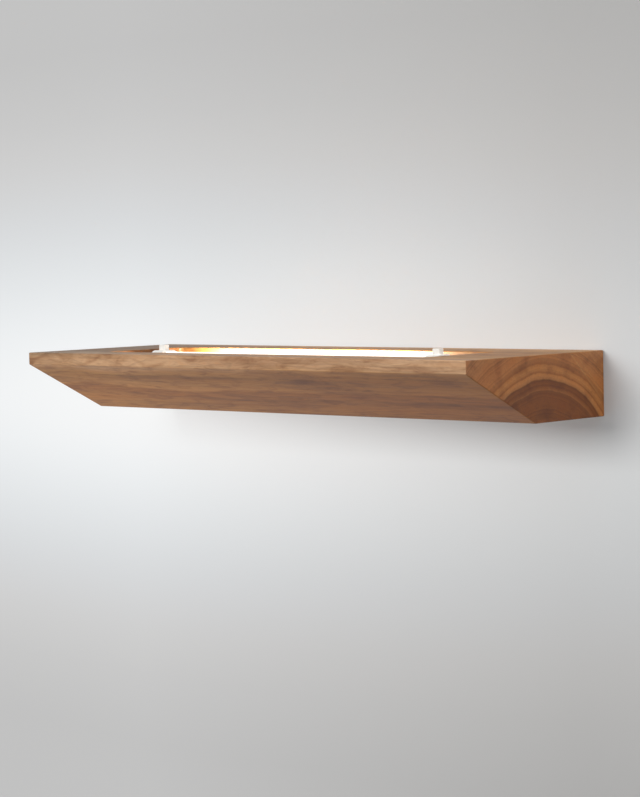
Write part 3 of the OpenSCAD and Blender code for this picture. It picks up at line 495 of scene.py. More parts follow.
combine(tray, [rod("hole", (x, y, below_tray), (x, y, above_tray), pilot_r, sides=24)
               for x, y in tray_screw_places + holder_screw_places])
combine(tray, [rod("bush_hole", (way_x, way_y, below_tray), (way_x, way_y, above_tray), bush_hole_r)])

# Baked powder coat: satin white with a fine orange peel, 0.9 mm from hump to hump.
powder = new_material("white_powder_coat")
place = add(powder, "TexCoord").outputs["Object"]
peel = add(powder, "TexNoise", Vector=place, Scale=1100.0, Detail=2.0, Roughness=0.5)
cloud = add(powder, "TexNoise", Vector=place, Scale=35.0, Detail=3.0, Roughness=0.6)
tone = add(powder, "ValToRGB", Fac=cloud, stops=[(0.3, "e8e7e3"), (0.5, "efeeeb"), (0.7, "f3f2ef")])
satin = add(powder, "MapRange", Value=cloud, To_Min=0.36, To_Max=0.52)
relief = add(powder, "Bump", Strength=0.35, Distance=0.06 * mm, Height=peel)
skin = add(powder, "BsdfPrincipled", Base_Color=tone, Roughness=satin, IOR=1.5, Normal=relief)
add(powder, "OutputMaterial", Surface=skin)

finish(tray, powder)
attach(tray, "root")
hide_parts("reflector_tray")

# ---------------------------------------------------------------------------
# Tray screws: four cross-recessed wood screws with domed heads, turned and rolled from steel
# wire and zinc-plated bright. They press the tray down at its corners.


def cross(z, width, depth, reach):
    """Two crossed wedges, which a driver bit leaves in a screw head whose top is at z."""
    wings, taper = [], 0.45
    for low, high in (((-reach / 2, -width / 2), (reach / 2, width / 2)),
                      ((-width / 2, -reach / 2), (width / 2, reach / 2))):
        wing = block("wing", (*low, z - depth), (*high, z + 0.5))
        pick(wing, "FACE", lambda at, way: way.z < -0.99)
        bpy.ops.transform.resize(value=(taper, taper, 1))
        leave()
        wings.append(wing)
    return wings


def join(piece, *others):
    """Makes one piece of several, which stay whole where they run into each other."""
    bpy.ops.object.select_all(action="DESELECT")
    for part in (piece, *others):
        part.select_set(True)
    bpy.context.view_layer.objects.active = piece
    bpy.ops.object.join()


def threaded(name, shank_r, low, high, pitch, tip):
    """A shank between two heights with a rolled thread round it and, for timber, a point."""
    core_r, point_r = 0.72 * shank_r, 0.05
    shank = rod(name, (0, 0, low + tip), (0, 0, high), core_r, sides=20)
    if tip:
        point = rod("point", (0, 0, low), (0, 0, low + tip + 0.01), point_r, core_r, sides=20)
        combine(shank, [point], "UNION")
    turns = int((high - low - tip - pitch) / pitch)
    bpy.ops.object.select_all(action="DESELECT")
    bpy.ops.mesh.primitive_circle_add(vertices=3, radius=0.1 * mm, fill_type="NOTHING")
    thread = bpy.context.active_object
    root_r, flank = 0.92 * core_r, 0.38 * pitch
    for vertex, (x, z) in zip(thread.data.vertices, ((root_r, -flank), (shank_r, 0), (root_r, flank))):
        vertex.co = Vector((x, 0, low + tip + pitch / 2 + z)) * mm
    modify(thread, "SCREW", axis="Z", angle=math.tau, screw_offset=pitch * mm, iterations=turns,
           steps=14, render_steps=14, use_merge_vertices=False)
    pick(thread, "VERT", lambda at, way: True)
    bpy.ops.mesh.fill_holes(sides=3)
    bpy.ops.mesh.normals_make_consistent(inside=False)
    leave()
    join(shank, thread)
    return shank


def make_screw(name, kind, shank_r, head_r, length, pitch, tip):
    """A screw along Z: a domed head stands on z = 0, and a countersunk one ends there."""
    dome_h, rim_h, overlap = 2, 0.15, 0.2
    if kind == "domed":
        head_foot, head_top = 0, dome_h
        head = rod("head", (0, 0, head_foot), (0, 0, head_top), head_r, sides=40)
        bevel(head, 1.15, 6, lambda at, way: at.z > head_top - 0.01)
        bevel(head, 0.15, 2, lambda at, way: at.z < 0.01)
    else:
        head_foot, head_top = shank_r - head_r, 0
        head = rod("head", (0, 0, head_foot), (0, 0, -rim_h), shank_r, head_r, sides=40)
        combine(head, [rod("rim", (0, 0, -rim_h - 0.001), (0, 0, head_top), head_r, sides=40)], "UNION")
        bevel(head, 0.08, 2, lambda at, way: at.z > -0.01)
    combine(head, cross(head_top, width=0.8, depth=1.2, reach=1.15 * head_r))
    shank = threaded(name, shank_r, -length, head_foot + overlap, pitch, tip)
    join(shank, head)
    return shank


def place_copies(master, name, places, turn, node, step=37):
    """Copies of a finished piece at places in millimetres, turned one way. Each is spun a step in
    degrees further, as screws stop at any angle. The master goes."""
    for number, place in enumerate(places):
        twin = master.copy()
        twin.data = master.data.copy()
        bpy.context.collection.objects.link(twin)
        twin.name = f"{name}_{number + 1}"
        spin = Matrix.Rotation(math.radians(step * number), 4, "Z")
        twin.data.transform(Matrix.Translation(Vector(place) * mm) @ turn @ spin)
        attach(twin, "root")
        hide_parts(node)
    bpy.data.objects.remove(master)


# Bright zinc: a cool silver with faint yellow and blue clouds and fine wire-drawing lines.
zinc = new_material("bright_zinc_plating")
place = add(zinc, "TexCoord").outputs["Object"]
cloud = add(zinc, "TexNoise", Vector=place, Scale=90.0, Detail=3.0, Roughness=0.6)
tone = add(zinc, "ValToRGB", Fac=cloud, stops=[(0.32, "b6bcc4"), (0.5, "c6c8c9"), (0.68, "cdcabd")])
lines = add(zinc, "TexNoise", Scale=1.0, Detail=3.0, Roughness=0.6,
            Vector=add(zinc, "Mapping", Vector=place, Scale=(40, 2600, 2600)))
satin = add(zinc, "MapRange", Value=lines, From_Min=0.3, From_Max=0.7, To_Min=0.26, To_Max=0.42)
relief = add(zinc, "Bump", Strength=0.2, Distance=0.03 * mm, Height=lines)
skin = add(zinc, "BsdfPrincipled", Base_Color=tone, Metallic=1.0, Roughness=satin, Normal=relief)
add(zinc, "OutputMaterial", Surface=skin)

heads_up, heads_down = Matrix.Identity(4), Matrix.Rotation(math.pi, 4, "X")
heads_back = Matrix.Rotation(-math.pi / 2, 4, "X")
heads_front = Matrix.Rotation(math.pi / 2, 4, "X")
wood_screw = {"shank_r": 1.5, "head_r": 2.9, "pitch": 1.2, "tip": 1.8}
screw = make_screw("domed_wood_screw", "domed", length=8, **wood_screw)
finish(screw, zinc)
place_copies(screw, "tray_corner_screw", [(x, y, trough_floor + sheet_t) for x, y in tray_screw_places],
             heads_up, "tray_screws")

# ---------------------------------------------------------------------------
# Light bar channel: an aluminium extrusion, cut to 280 mm and anodised clear, with a snap lip
# inside each wall and five cooling grooves below. It stands in the tray and carries the light.

bar_half, bar_half_w, bar_low, bar_floor, wall_top = 140, 9, 11, 13.4, 20
hollow_half, lip_z, lip_r = 7.8, 17.4, 0.4
groove_pitch, groove_w, groove_depth = 3, 1.2, 1.2
channel = block("extruded_channel", (-bar_half, bar_y - bar_half_w, bar_low),
                (bar_half, bar_y + bar_half_w, wall_top))
combine(channel, [block("hollow", (-bar_half - 1, bar_y - hollow_half, bar_floor),
                        (bar_half + 1, bar_y + hollow_half, wall_top + 1))])
combine(channel, [block("groove", (-bar_half - 1, y - groove_w / 2, bar_low - 1),
                        (bar_half + 1, y + groove_w / 2, bar_low + groove_depth))
                  for y in (bar_y + groove_pitch * i for i in range(-2, 3))])
combine(channel, [rod("lip", (-bar_half, y, lip_z), (bar_half, y, lip_z), lip_r, sides=4)
                  for y in (bar_y - hollow_half, bar_y + hollow_half)], "UNION")
modify(channel, "BEVEL", width=0.15 * mm, segments=2, limit_method="ANGLE", angle_limit=math.radians(60))

# Anodised aluminium: a soft grey sheen with the long straight lines of the extruder's die.
anodised = new_material("clear_anodised_aluminium")
place = add(anodised, "TexCoord").outputs["Object"]
die_lines = add(anodised, "TexNoise", Scale=1.0, Detail=4.0, Roughness=0.7,
                Vector=add(anodised, "Mapping", Vector=place, Scale=(4, 2500, 2500)))
tone = add(anodised, "ValToRGB", Fac=die_lines, stops=[(0.3, "bdbec0"), (0.7, "cfd0d1")])
satin = add(anodised, "MapRange", Value=die_lines, From_Min=0.3, From_Max=0.7, To_Min=0.34, To_Max=0.46)
relief = add(anodised, "Bump", Strength=0.25, Distance=0.04 * mm, Height=die_lines)
skin = add(anodised, "BsdfPrincipled", Base_Color=tone, Metallic=1.0, Roughness=satin, Normal=relief)
add(anodised, "OutputMaterial", Surface=skin)

finish(channel, anodised)
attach(channel, "root")
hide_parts("bar_channel")

# ---------------------------------------------------------------------------
# Light board: a glass-fibre board with copper tracks under a white solder mask. It lies on the
# floor of the channel, and the two leads are soldered to the pads at its right end.

board_x, board_w, board_top = 139.9, 12, 15
board = block("white_light_board", (-board_x, bar_y - board_w / 2, bar_floor),
              (board_x, bar_y + board_w / 2, board_top))
bevel(board, 0.12, 1, lambda at, way: at.z > board_top - 0.01)
pad_x, pad_y, solder_r = 138.2, (-83, -80.3), 1.25
beads = []
for y in pad_y:
    bpy.ops.object.select_all(action="DESELECT")
    bpy.ops.mesh.primitive_uv_sphere_add(segments=20, ring_count=10, radius=solder_r * mm,
                                         location=(pad_x * mm, y * mm, board_top * mm), scale=(1.3, 1, 0.62))
    bpy.ops.object.transform_apply()
    beads.append(bpy.context.active_object)
    saw(beads[-1], (0, 0, board_top), (0, 0, -1))
join(board, *beads)

# Solder mask: glossy white, a little raised and darker over two copper tracks, and grey where
# solder covers the pads at the end.
mask = new_material("white_solder_mask")
place = add(mask, "TexCoord").outputs["Object"]
parts = add(mask, "SeparateXYZ", Vector=place)
across = add(mask, "Math", operation="ABSOLUTE", i0=add(
    mask, "Math", operation="ADD", i0=parts.outputs["Y"], i1=-bar_y * mm))
track_y, track_half = 3.9, 1.0
track = add(mask, "Math", operation="COMPARE", i0=across, i1=track_y * mm, i2=track_half * mm)
grain = add(mask, "TexNoise", Vector=place, Scale=1500.0, Detail=2.0)
above = add(mask, "Math", operation="GREATER_THAN", i0=parts.outputs["Z"], i1=(board_top + 0.02) * mm)
tone = add(mask, "Mix", data_type="RGBA", i0=track, i6=hex_colour("f2f2ec"), i7=hex_colour("e3e2d6"))
tone = add(mask, "Mix", data_type="RGBA", i0=above, i6=tone, i7=hex_colour("b4b5b4"))
relief = add(mask, "Bump", Strength=0.5, Distance=0.05 * mm,
             Height=add(mask, "Math", operation="MULTIPLY_ADD", i0=grain, i1=0.2, i2=track))
satin = add(mask, "MapRange", Value=grain, To_Min=0.24, To_Max=0.4)
skin = add(mask, "BsdfPrincipled", Base_Color=tone, Roughness=satin, IOR=1.5, Metallic=above, Normal=relief)
add(mask, "OutputMaterial", Surface=skin)

finish(board, mask)
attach(board, "root")
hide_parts("light_board")

# ---------------------------------------------------------------------------
# Light chips: thirty small light sources, each a white resin frame filled with yellow phosphor,
# soldered in a row along the board.

chip_l, chip_w, chip_h, chip_pitch, chip_count = 3.5, 2.8, 0.7, 9, 30
chip_wall, gel_slope, gel_depth = 0.35, 0.12, 0.15
first_x = -(chip_count - 1) / 2 * chip_pitch
chips = block("row_of_light_chips", (first_x - chip_l / 2, bar_y - chip_w / 2, board_top),
              (first_x + chip_l / 2, bar_y + chip_w / 2, board_top + chip_h))
bevel(chips, 0.1, 1, upright)
pick(chips, "FACE", lambda at, way: way.z > 0.99)
bpy.ops.mesh.inset(thickness=chip_wall * mm)
bpy.ops.mesh.inset(thickness=gel_slope * mm, depth=-gel_depth * mm)
leave()

# Moulded resin frame: matt white with the fine pits of its mould.
resin = new_material("white_chip_resin")
grain = add(resin, "TexNoise", Vector=add(resin, "TexCoord").outputs["Object"], Scale=5000.0, Detail=2.0)
tone = add(resin, "ValToRGB", Fac=grain, stops=[(0.3, "e9e8e2"), (0.7, "f4f4f0")])
relief = add(resin, "Bump", Strength=0.3, Distance=0.02 * mm, Height=grain)
skin = add(resin, "BsdfPrincipled", Base_Color=tone, Roughness=0.55, Normal=relief)
add(resin, "OutputMaterial", Surface=skin)
# Phosphor in silicone: egg-yellow grains in a soft clear gel, which glow when the lamp is lit.
phosphor = new_material("yellow_phosphor_gel")
grain = add(phosphor, "TexNoise", Scale=9000.0, Detail=3.0,
            Vector=add(phosphor, "TexCoord").outputs["Object"])
tone = add(phosphor, "ValToRGB", Fac=grain, stops=[(0.3, "e8c34a"), (0.7, "f4dc86")])
skin = add(phosphor, "BsdfPrincipled", Base_Color=tone, Roughness=0.3, Emission_Color=hex_colour("ffe2a8"),
           Emission_Strength=2.0)
add(phosphor, "OutputMaterial", Surface=skin)

chips.data.materials.append(resin)
chips.data.materials.append(phosphor)
for face in chips.data.polygons:
    centre = face.center / mm
    is_gel = face.normal.z > 0.99 and abs(centre.x - first_x) < 0.1 and centre.z < board_top + chip_h - 0.1
    face.material_index = int(is_gel)
modify(chips, "ARRAY", count=chip_count, use_relative_offset=False, use_constant_offset=True,
       constant_offset_displace=(chip_pitch * mm, 0, 0))
finish(chips)
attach(chips, "root")
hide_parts("light_chips")

# ---------------------------------------------------------------------------
# Opal cover: a domed extrusion in milky acrylic on two legs, whose beads snap under the lips of
# the channel. It spreads the light of the chips into one even, warm band.

crown_r, crown_z, crown_t, leg_y, bead_r = 13.321, 10.179, 1.2, 6.65, 0.8
cover = rod("snap_in_opal_cover", (-bar_half, bar_y, crown_z), (bar_half, bar_y, crown_z), crown_r, sides=160)
saw(cover, (0, 0, wall_top), (0, 0, -1))
inside = rod("inside", (-bar_half - 1, bar_y, crown_z), (bar_half + 1, bar_y, crown_z), crown_r - crown_t,
             sides=160)
saw(inside, (0, bar_y - leg_y + crown_t / 2, 0), (0, -1, 0))
saw(inside, (0, bar_y + leg_y - crown_t / 2, 0), (0, 1, 0))
saw(inside, (0, 0, wall_top - 1), (0, 0, -1))
combine(cover, [inside])
for side in (-1, 1):
    y = bar_y + side * leg_y
    combine(cover, [
        block("leg", (-bar_half, y - crown_t / 2, lip_z), (bar_half, y + crown_t / 2, wall_top + 0.2)),
        rod("bead", (-bar_half, y, lip_z), (bar_half, y, lip_z), bead_r, sides=24)], "UNION")

# Opal acrylic, lit from inside: brightest along its crown and warmer towards its edges.
opal = new_material("lit_opal_acrylic")
place = add(opal, "TexCoord").outputs["Object"]
parts = add(opal, "SeparateXYZ", Vector=place)
across = add(opal, "Math", operation="ABSOLUTE", i0=add(
    opal, "Math", operation="ADD", i0=parts.outputs["Y"], i1=-bar_y * mm))
edge = add(opal, "MapRange", Value=across, From_Min=0.0, From_Max=bar_half_w * mm)
warm = add(opal, "ValToRGB", Fac=edge, stops=[(0.0, "fff7ec"), (0.7, "fff1de"), (1.0, "ffe6c8")])
fine = add(opal, "TexNoise", Vector=place, Scale=900.0, Detail=2.0)
relief = add(opal, "Bump", Strength=0.1, Distance=0.02 * mm, Height=fine)
skin = add(opal, "BsdfPrincipled", Base_Color=hex_colour("f4f1ea"), Roughness=0.34, IOR=1.49, Normal=relief,
           Emission_Color=warm, Emission_Strength=1.1)
add(opal, "OutputMaterial", Surface=skin)

finish(cover, opal)
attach(cover, "root")
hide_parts("opal_cover")

# What the bar throws on the timber beside it: two strips of light that only the beam receives,
# so the trough glows as it does in use and the room keeps its plain light.
glow_x, glow_y, glow_z, glow_length, glow_w, glow_power = -20, 12, 20.6, 212, 3, 1.2
lit_timber = bpy.data.collections.new("timber_lit_by_the_bar")
lit_timber.objects.link(beam)
for side, word in ((-1, "front"), (1, "back")):
    place, aim = (Vector((glow_x, bar_y + side * y, glow_z)) * mm for y in (glow_y, glow_y + 1))
    strip = add_window(f"trough_glow_{word}", place, glow_w * mm, glow_power, "fff0de", aim)
    strip.data.shape = "RECTANGLE"
    strip.data.size, strip.data.size_y = glow_length * mm, glow_w * mm
    strip.data.cycles.max_bounces = 0
    strip.visible_camera = False
    strip.light_linking.receiver_collection = lit_timber

# ---------------------------------------------------------------------------
# End holders: two cups moulded in white plastic that take the ends of the bar. Each has a foot
# with two countersunk screws and a lug on top, by which the bar is lifted out. The right one
# has a slot for the leads.

cup_in, cup_out, foot_out, foot_top = 136, 148, 159, 13.5
cup_wall, cup_half, cup_top, slip, room_end = 2.15, 11.15, 24.65, 0.15, 146
lug_x, lug_half_l, lug_half_w, lug_top = 142, 3.5, 2.5, 29
wire_x, wire_z, lead_gap, wire_slot_r, wire_slot_reach, sink_r = 143, 15.95, 2.3, 0.95, 12, 3.45


def bar_form(name, low_x, high_x, grow, floor_height, side):
    """The section of the bar, grown to its sides and top, between two places along it."""
    low, high = sorted((side * low_x, side * high_x))
    form = rod(name, (low, bar_y, crown_z), (high, bar_y, crown_z), crown_r + grow, sides=120)
    saw(form, (0, bar_y - bar_half_w - grow, 0), (0, -1, 0))
    saw(form, (0, bar_y + bar_half_w + grow, 0), (0, 1, 0))
    saw(form, (0, 0, floor_height), (0, 0, -1))
    return form


# Moulded ABS: satin white, with the 0.6 mm grain that spark erosion leaves in the mould.
moulded = new_material("white_moulded_abs")
place = add(moulded, "TexCoord").outputs["Object"]
spark = add(moulded, "TexNoise", Vector=place, Scale=1700.0, Detail=3.0, Roughness=0.6)
flow = add(moulded, "TexNoise", Vector=place, Scale=30.0, Detail=2.0)
tone = add(moulded, "ValToRGB", Fac=flow, stops=[(0.3, "ecebe7"), (0.7, "f4f3f0")])
satin = add(moulded, "MapRange", Value=spark, From_Min=0.3, From_Max=0.7, To_Min=0.4, To_Max=0.55)
relief = add(moulded, "Bump", Strength=0.3, Distance=0.05 * mm, Height=spark)
skin = add(moulded, "BsdfPrincipled", Base_Color=tone, Roughness=satin, IOR=1.53, Normal=relief)
add(moulded, "OutputMaterial", Surface=skin)

for side, word in ((-1, "left"), (1, "right")):
    holder = bar_form(f"moulded_holder_{word}", cup_in, cup_out, cup_wall, bar_low, side)
    saw(holder, (0, 0, cup_top), (0, 0, 1))
    bevel(holder, 0.5, 3, lambda at, way: abs(way.x) < 0.5 and at.z > bar_low + 0.5)
    low, high = sorted((side * (cup_out - 1), side * foot_out))
    foot = block("foot", (low, bar_y - cup_half, bar_low), (high, bar_y + cup_half, foot_top))
    bevel(foot, 1.5, 5, lambda at, way: abs(way.z) > 0.99 and abs(at.x) > foot_out - 1)
    bevel(foot, 0.35, 2, lambda at, way: at.z > foot_top - 0.01 and abs(at.x) > cup_out)
    low, high = side * lug_x - lug_half_l, side * lug_x + lug_half_l
    lug = block("lug", (low, bar_y - lug_half_w, cup_top - 0.9), (high, bar_y + lug_half_w, lug_top))
    bevel(lug, 0.9, 4, upright)
    bevel(lug, 0.5, 3, lambda at, way: at.z > lug_top - 0.01)
    combine(holder, [foot, lug], "UNION")
    bevel(holder, 0.45, 3, lambda at, way: abs(at.z - cup_top) < 0.02 and abs(way.z) < 0.1
          and abs(at.y - bar_y) < lug_half_w + 0.1 and abs(abs(at.x) - lug_x) < lug_half_l + 0.1)
    combine(holder, [bar_form("cup", 0, bar_half + slip, slip, bar_low - 1, side),
                     bar_form("wire_room", 0, room_end, 0, bar_floor, side)])
    x, over_foot = side * screw_x, foot_top + 0.5
    for y in holder_screw_y:
        combine(holder, [rod("hole", (x, y, trough_floor), (x, y, over_foot), pilot_r, sides=24),
                         rod("sink", (x, y, over_foot + pilot_r - sink_r), (x, y, over_foot), pilot_r, sink_r,
                             sides=40)])
    if side == 1:
        low, high, slot_back = wire_x - lead_gap / 2, wire_x + lead_gap / 2, bar_y + wire_slot_reach
        for x in (low, high):
            combine(holder, [rod("wire_slot", (x, bar_y, wire_z), (x, slot_back, wire_z), wire_slot_r,
                                 sides=24)])
        combine(holder, [block("wire_slot", (low, bar_y, wire_z - wire_slot_r),
                               (high, slot_back, wire_z + wire_slot_r))])
    finish(holder, moulded)
    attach(holder, "root")
    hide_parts(f"end_holder_{word}")

# Their four countersunk wood screws go through foot and tray into the timber.
screw = make_screw("sunk_wood_screw", "sunk", length=10.5, **wood_screw)
finish(screw, zinc)
place_copies(screw, "holder_foot_screw", [(x, y, foot_top) for x, y in holder_screw_places],
             heads_up, "holder_screws")

# ---------------------------------------------------------------------------
# Lead bush: a grommet moulded in black rubber. Its two flanges grip the edge of the hole in the
# tray, and it keeps the leads off the sheet steel.

bush_r, bush_neck_r, bush_bore = 6, 4.4, 2.6
bush = rod("lead_bush", (way_x, way_y, below_tray), (way_x, way_y, above_tray), bush_r, sides=48)
bevel(bush, 0.45, 4, lambda at, way: at.z > above_tray - 0.01)
bevel(bush, 0.2, 2, lambda at, way: at.z < below_tray + 0.01)
groove = rod("groove", (way_x, way_y, trough_floor), (way_x, way_y, trough_floor + sheet_t), bush_r + 2,
             sides=48)
neck = rod("neck", (way_x, way_y, below_tray), (way_x, way_y, above_tray), bush_neck_r, sides=48)
combine(groove, [neck])
bore = rod("bore", (way_x, way_y, below_tray - 1), (way_x, way_y, above_tray + 1), bush_bore, sides=40)
combine(bush, [groove, bore])
bevel(bush, 0.3, 3, lambda at, way: at.z > above_tray - 0.01
      and (at.xy - Vector((way_x, way_y))).length < bush_bore + 0.1)

# Moulded rubber: near-black and dull, with a faint grey bloom.
rubber = new_material("black_moulded_rubber")
place = add(rubber, "TexCoord").outputs["Object"]
bloom = add(rubber, "TexNoise", Vector=place, Scale=260.0, Detail=4.0, Roughness=0.65)
tone = add(rubber, "ValToRGB", Fac=bloom, stops=[(0.35, "1b1b1c"), (0.6, "262627"), (0.8, "3a3a3a")])
satin = add(rubber, "MapRange", Value=bloom, To_Min=0.5, To_Max=0.75)
relief = add(rubber, "Bump", Strength=0.3, Distance=0.03 * mm,
             Height=add(rubber, "TexNoise", Vector=place, Scale=2500.0, Detail=2.0))
skin = add(rubber, "BsdfPrincipled", Base_Color=tone, Roughness=satin, IOR=1.52, Normal=relief)
add(rubber, "OutputMaterial", Surface=skin)

finish(bush, rubber)
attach(bush, "root")
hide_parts("tray_bush")

# ---------------------------------------------------------------------------
# Low-voltage leads: a red and a black stranded lead in PVC. They run side by side from the
# driver through the wire way, up through the lead bush, into the right holder and on to the
# board, where they are soldered.


def curve_point(a, b, c, d, t):
    """The point at share t of a curve from b to c, with its ends parallel to a-c and b-d."""
    length, s = (c - b).length, 1 - t
    return (s * s * ((1 + 2 * t) * b + t * length * (c - a).normalized())
            + t * t * ((1 + 2 * s) * c - s * length * (d - b).normalized()))


def pull_lead(name, route, radius, steps=7):
    """A round lead drawn along a smooth curve through the points of its route."""
    route = [Vector(point) for point in route]
    path = []
    for i in range(len(route) - 1):
        ends = route[max(i - 1, 0)], route[i], route[i + 1], route[min(i + 2, len(route) - 1)]
        path += [curve_point(*ends, k / steps) for k in range(steps)]
    path.append(route[-1])
    line = bpy.data.curves.new(name, "CURVE")
    line.dimensions = "3D"
    line.bevel_depth, line.bevel_resolution, line.use_fill_caps = radius * mm, 3, True
    spline = line.splines.new("POLY")
    spline.points.add(len(path) - 1)
    for point, place in zip(spline.points, path):
        point.co = (*(place * mm), 1)
    lead = bpy.data.objects.new(name, line)
    bpy.context.collection.objects.link(lead)
    bpy.ops.object.select_all(action="DESELECT")
    lead.select_set(True)
    bpy.context.view_layer.objects.active = lead
    bpy.ops.object.convert(target="MESH")
    return bpy.context.active_object


def insulation(name, low, high):
    """Extruded PVC: a soft gloss with the faint ripple of the strands below it."""
    pvc = new_material(name)
    place = add(pvc, "TexCoord").outputs["Object"]
    ripple = add(pvc, "TexNoise", Vector=place, Scale=700.0, Detail=3.0, Roughness=0.6)
    tone = add(pvc, "ValToRGB", Fac=ripple, stops=[(0.3, low), (0.7, high)])
    satin = add(pvc, "MapRange", Value=ripple, To_Min=0.3, To_Max=0.5)
    relief = add(pvc, "Bump", Strength=0.3, Distance=0.05 * mm, Height=ripple)
    skin = add(pvc, "BsdfPrincipled", Base_Color=tone, Roughness=satin, IOR=1.53, Normal=relief)
    add(pvc, "OutputMaterial", Surface=skin)
    return pvc


bend, driver_end, driver_y, plug_z, rear_y = 3, 108, -26, 3.5, -73.85
low_lead_r, solder_z = 0.85, 15.9


def led_route(side):
    """The route of one of the two leads, set off square to the run of the pair."""
    dx = side * lead_gap / 2
    run = Vector((wire_x - way_x, rear_y + bend - way_y)).normalized()
    off = dx * Vector((-run.y, run.x))
    turn = 1.2 * abs(dx) * (off + Vector((dx, 0))).normalized()
    solder_y = bar_y + board_w / 3 - 2 * side
    return [(driver_end, driver_y, side * plug_z), (driver_end + bend, driver_y, side * plug_z),
            (way_x - bend + dx, driver_y - bend, side * plug_z / 2), (way_x + dx, pocket_y, way_z),
            (way_x + dx, pocket_y - 2 * bend, way_z), (way_x + dx, way_y + bend, way_z),
            (way_x + dx, way_y, way_z + bend), (way_x + dx, way_y, trough_floor - bend),
            (way_x + dx, way_y, trough_floor + 3),
            (way_x + bend * run.x + turn.x, way_y + bend * run.y + turn.y, wire_z + bend / 2),
            ((way_x + wire_x) / 2 + off.x, (way_y + rear_y + bend) / 2 + off.y, wire_z),
            (wire_x + turn.x, rear_y + bend + turn.y, wire_z), (wire_x + dx, rear_y, wire_z),
            (wire_x + dx, rear_y - bend, wire_z), (bar_half, solder_y, solder_z),
            (bar_half - bend, solder_y, solder_z)]


for side, word, low, high, slot in ((1, "positive", "8f1712", "a82219", "red_insulation"),
                                    (-1, "negative", "151515", "222223", "black_insulation")):
    lead = pull_lead(f"led_lead_{word}_tube", led_route(side), low_lead_r)
    finish(lead, insulation(f"pvc_of_the_{word}_lead", low, high))
    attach(lead, "root")
    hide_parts(f"led_lead_{word}")

# ---------------------------------------------------------------------------
# Driver: turns mains current into low voltage. A closed case moulded in white plastic on a base
# with an ear at each end, screwed to the front wall of the pocket. A ribbed cap snaps over the
# terminals at each end, with a hole for each lead. The case keeps a sunk field without lettering.

case_low, case_high, case_back, case_z, base_z, ear_r = 14, 94, -16, 11, 10, 5
field_in, field_z, field_depth = 16, 6, 0.3
cap_back, cap_z, rib_z, rib_gap, rib_depth = -16.5, 10.5, 6, 1, 0.5
case = block("potted_driver_case", (case_low, pocket_y, -case_z), (case_high, case_back, case_z))
bevel(case, 2.5, 6, lambda at, way: abs(way.x) > 0.99 and at.y > case_back - 0.01)
bevel(case, 0.4, 2, lambda at, way: abs(way.x) < 0.99 and at.y > base_y)
seat = block("seat", (0, pocket_y, -base_z), (driver_end, base_y, base_z))
combine(seat, [block("ears", (ear_x[0], pocket_y, -ear_r), (ear_x[1], base_y, ear_r))], "UNION")
combine(seat, [rod("ear", (x, pocket_y, 0), (x, base_y, 0), ear_r, sides=40) for x in ear_x], "UNION")
combine(case, [seat], "UNION")
combine(case, [rod("ear_hole", (x, pocket_y - 1, 0), (x, base_y + 1, 0), pilot_r, sides=24)
               for x in ear_x])
field = block("bare_field", (case_low + field_in, case_back - field_depth, -field_z),
              (case_high - field_in, case_back + 1, field_z))
bevel(field, 1.5, 4, lambda at, way: abs(way.y) > 0.99)
combine(case, [field])
finish(case, moulded)
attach(case, "root")
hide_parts("driver_case")

for word, low, high, outer, hole_r in (("mains", 0, case_low, 0, 1.2),
                                       ("low_voltage", case_high, driver_end, driver_end, 0.95)):
    cap = block(f"ribbed_cap_{word}", (low, base_y, -cap_z), (high, cap_back, cap_z))
    bevel(cap, 2.5, 6, lambda at, way: abs(way.x) > 0.99 and at.y > cap_back - 0.01)
    bevel(cap, 0.4, 2, lambda at, way: abs(way.x) < 0.99 and at.y > base_y + 0.1)
    middle = (low + high) / 2
    combine(cap, [block("rib_gap", (x - rib_gap / 2, cap_back - rib_depth, -rib_z),
                        (x + rib_gap / 2, cap_back + 1.5, rib_z))
                  for x in (middle + 2 * rib_gap * i for i in range(-2, 3))])
    combine(cap, [rod("lead_hole", (outer - 3, driver_y, z), (outer + 3, driver_y, z), hole_r, sides=28)
                  for z in (-plug_z, plug_z)])
    finish(cap, moulded)
    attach(cap, "root")
    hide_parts(f"driver_cover_{word}")

screw = make_screw("domed_wood_screw", "domed", length=8, **wood_screw)
finish(screw, zinc)
place_copies(screw, "driver_ear_screw", [(x, base_y, 0) for x in ear_x],
             heads_back, "driver_screws")

# ---------------------------------------------------------------------------
# Terminal block: three poles moulded in one piece of cream plastic, screwed to the wall plate.
# Each pole has a brass clamp with two slotted screws in wells. The house cable comes in from
# below, and the lamp's own leads leave at the top.

pole_x, pole_y, pole_r, block_z, plate_t = (-56, -46, -36), -8.5, 3.6, 8, 1.5
base_front, well_front, well_r, well_bore_r, clamp_bore_r = -4.5, -15, 3, 2, 2.4
clamp_screw_z, fixing_x, fixing_r = (-4, 4), -51, 1.25
body = block("three_pole_block", (pole_x[0] - pole_r + 0.4, base_front, -block_z + 1),
             (pole_x[2] + pole_r - 0.4, -plate_t - 0.1, block_z - 1))
bevel(body, 0.6, 3, lambda at, way: abs(way.y) > 0.99)
for x in pole_x:
    pole = block("pole", (x - pole_r, pole_y - pole_r, -block_z), (x + pole_r, -plate_t, block_z))
    bevel(pole, pole_r - 0.01, 12, lambda at, way: upright(at, way) and at.y < pole_y)
    bevel(pole, 0.35, 2, lambda at, way: abs(at.z) > block_z - 0.01 and at.y < -plate_t - 0.5)
    for z in clamp_screw_z:
        well = rod("well", (x, pole_y - 1, z), (x, well_front, z), well_r, sides=40)
        bevel(well, 0.3, 2, lambda at, way: at.y < well_front + 0.01)
        combine(pole, [well], "UNION")
    combine(body, [pole], "UNION")
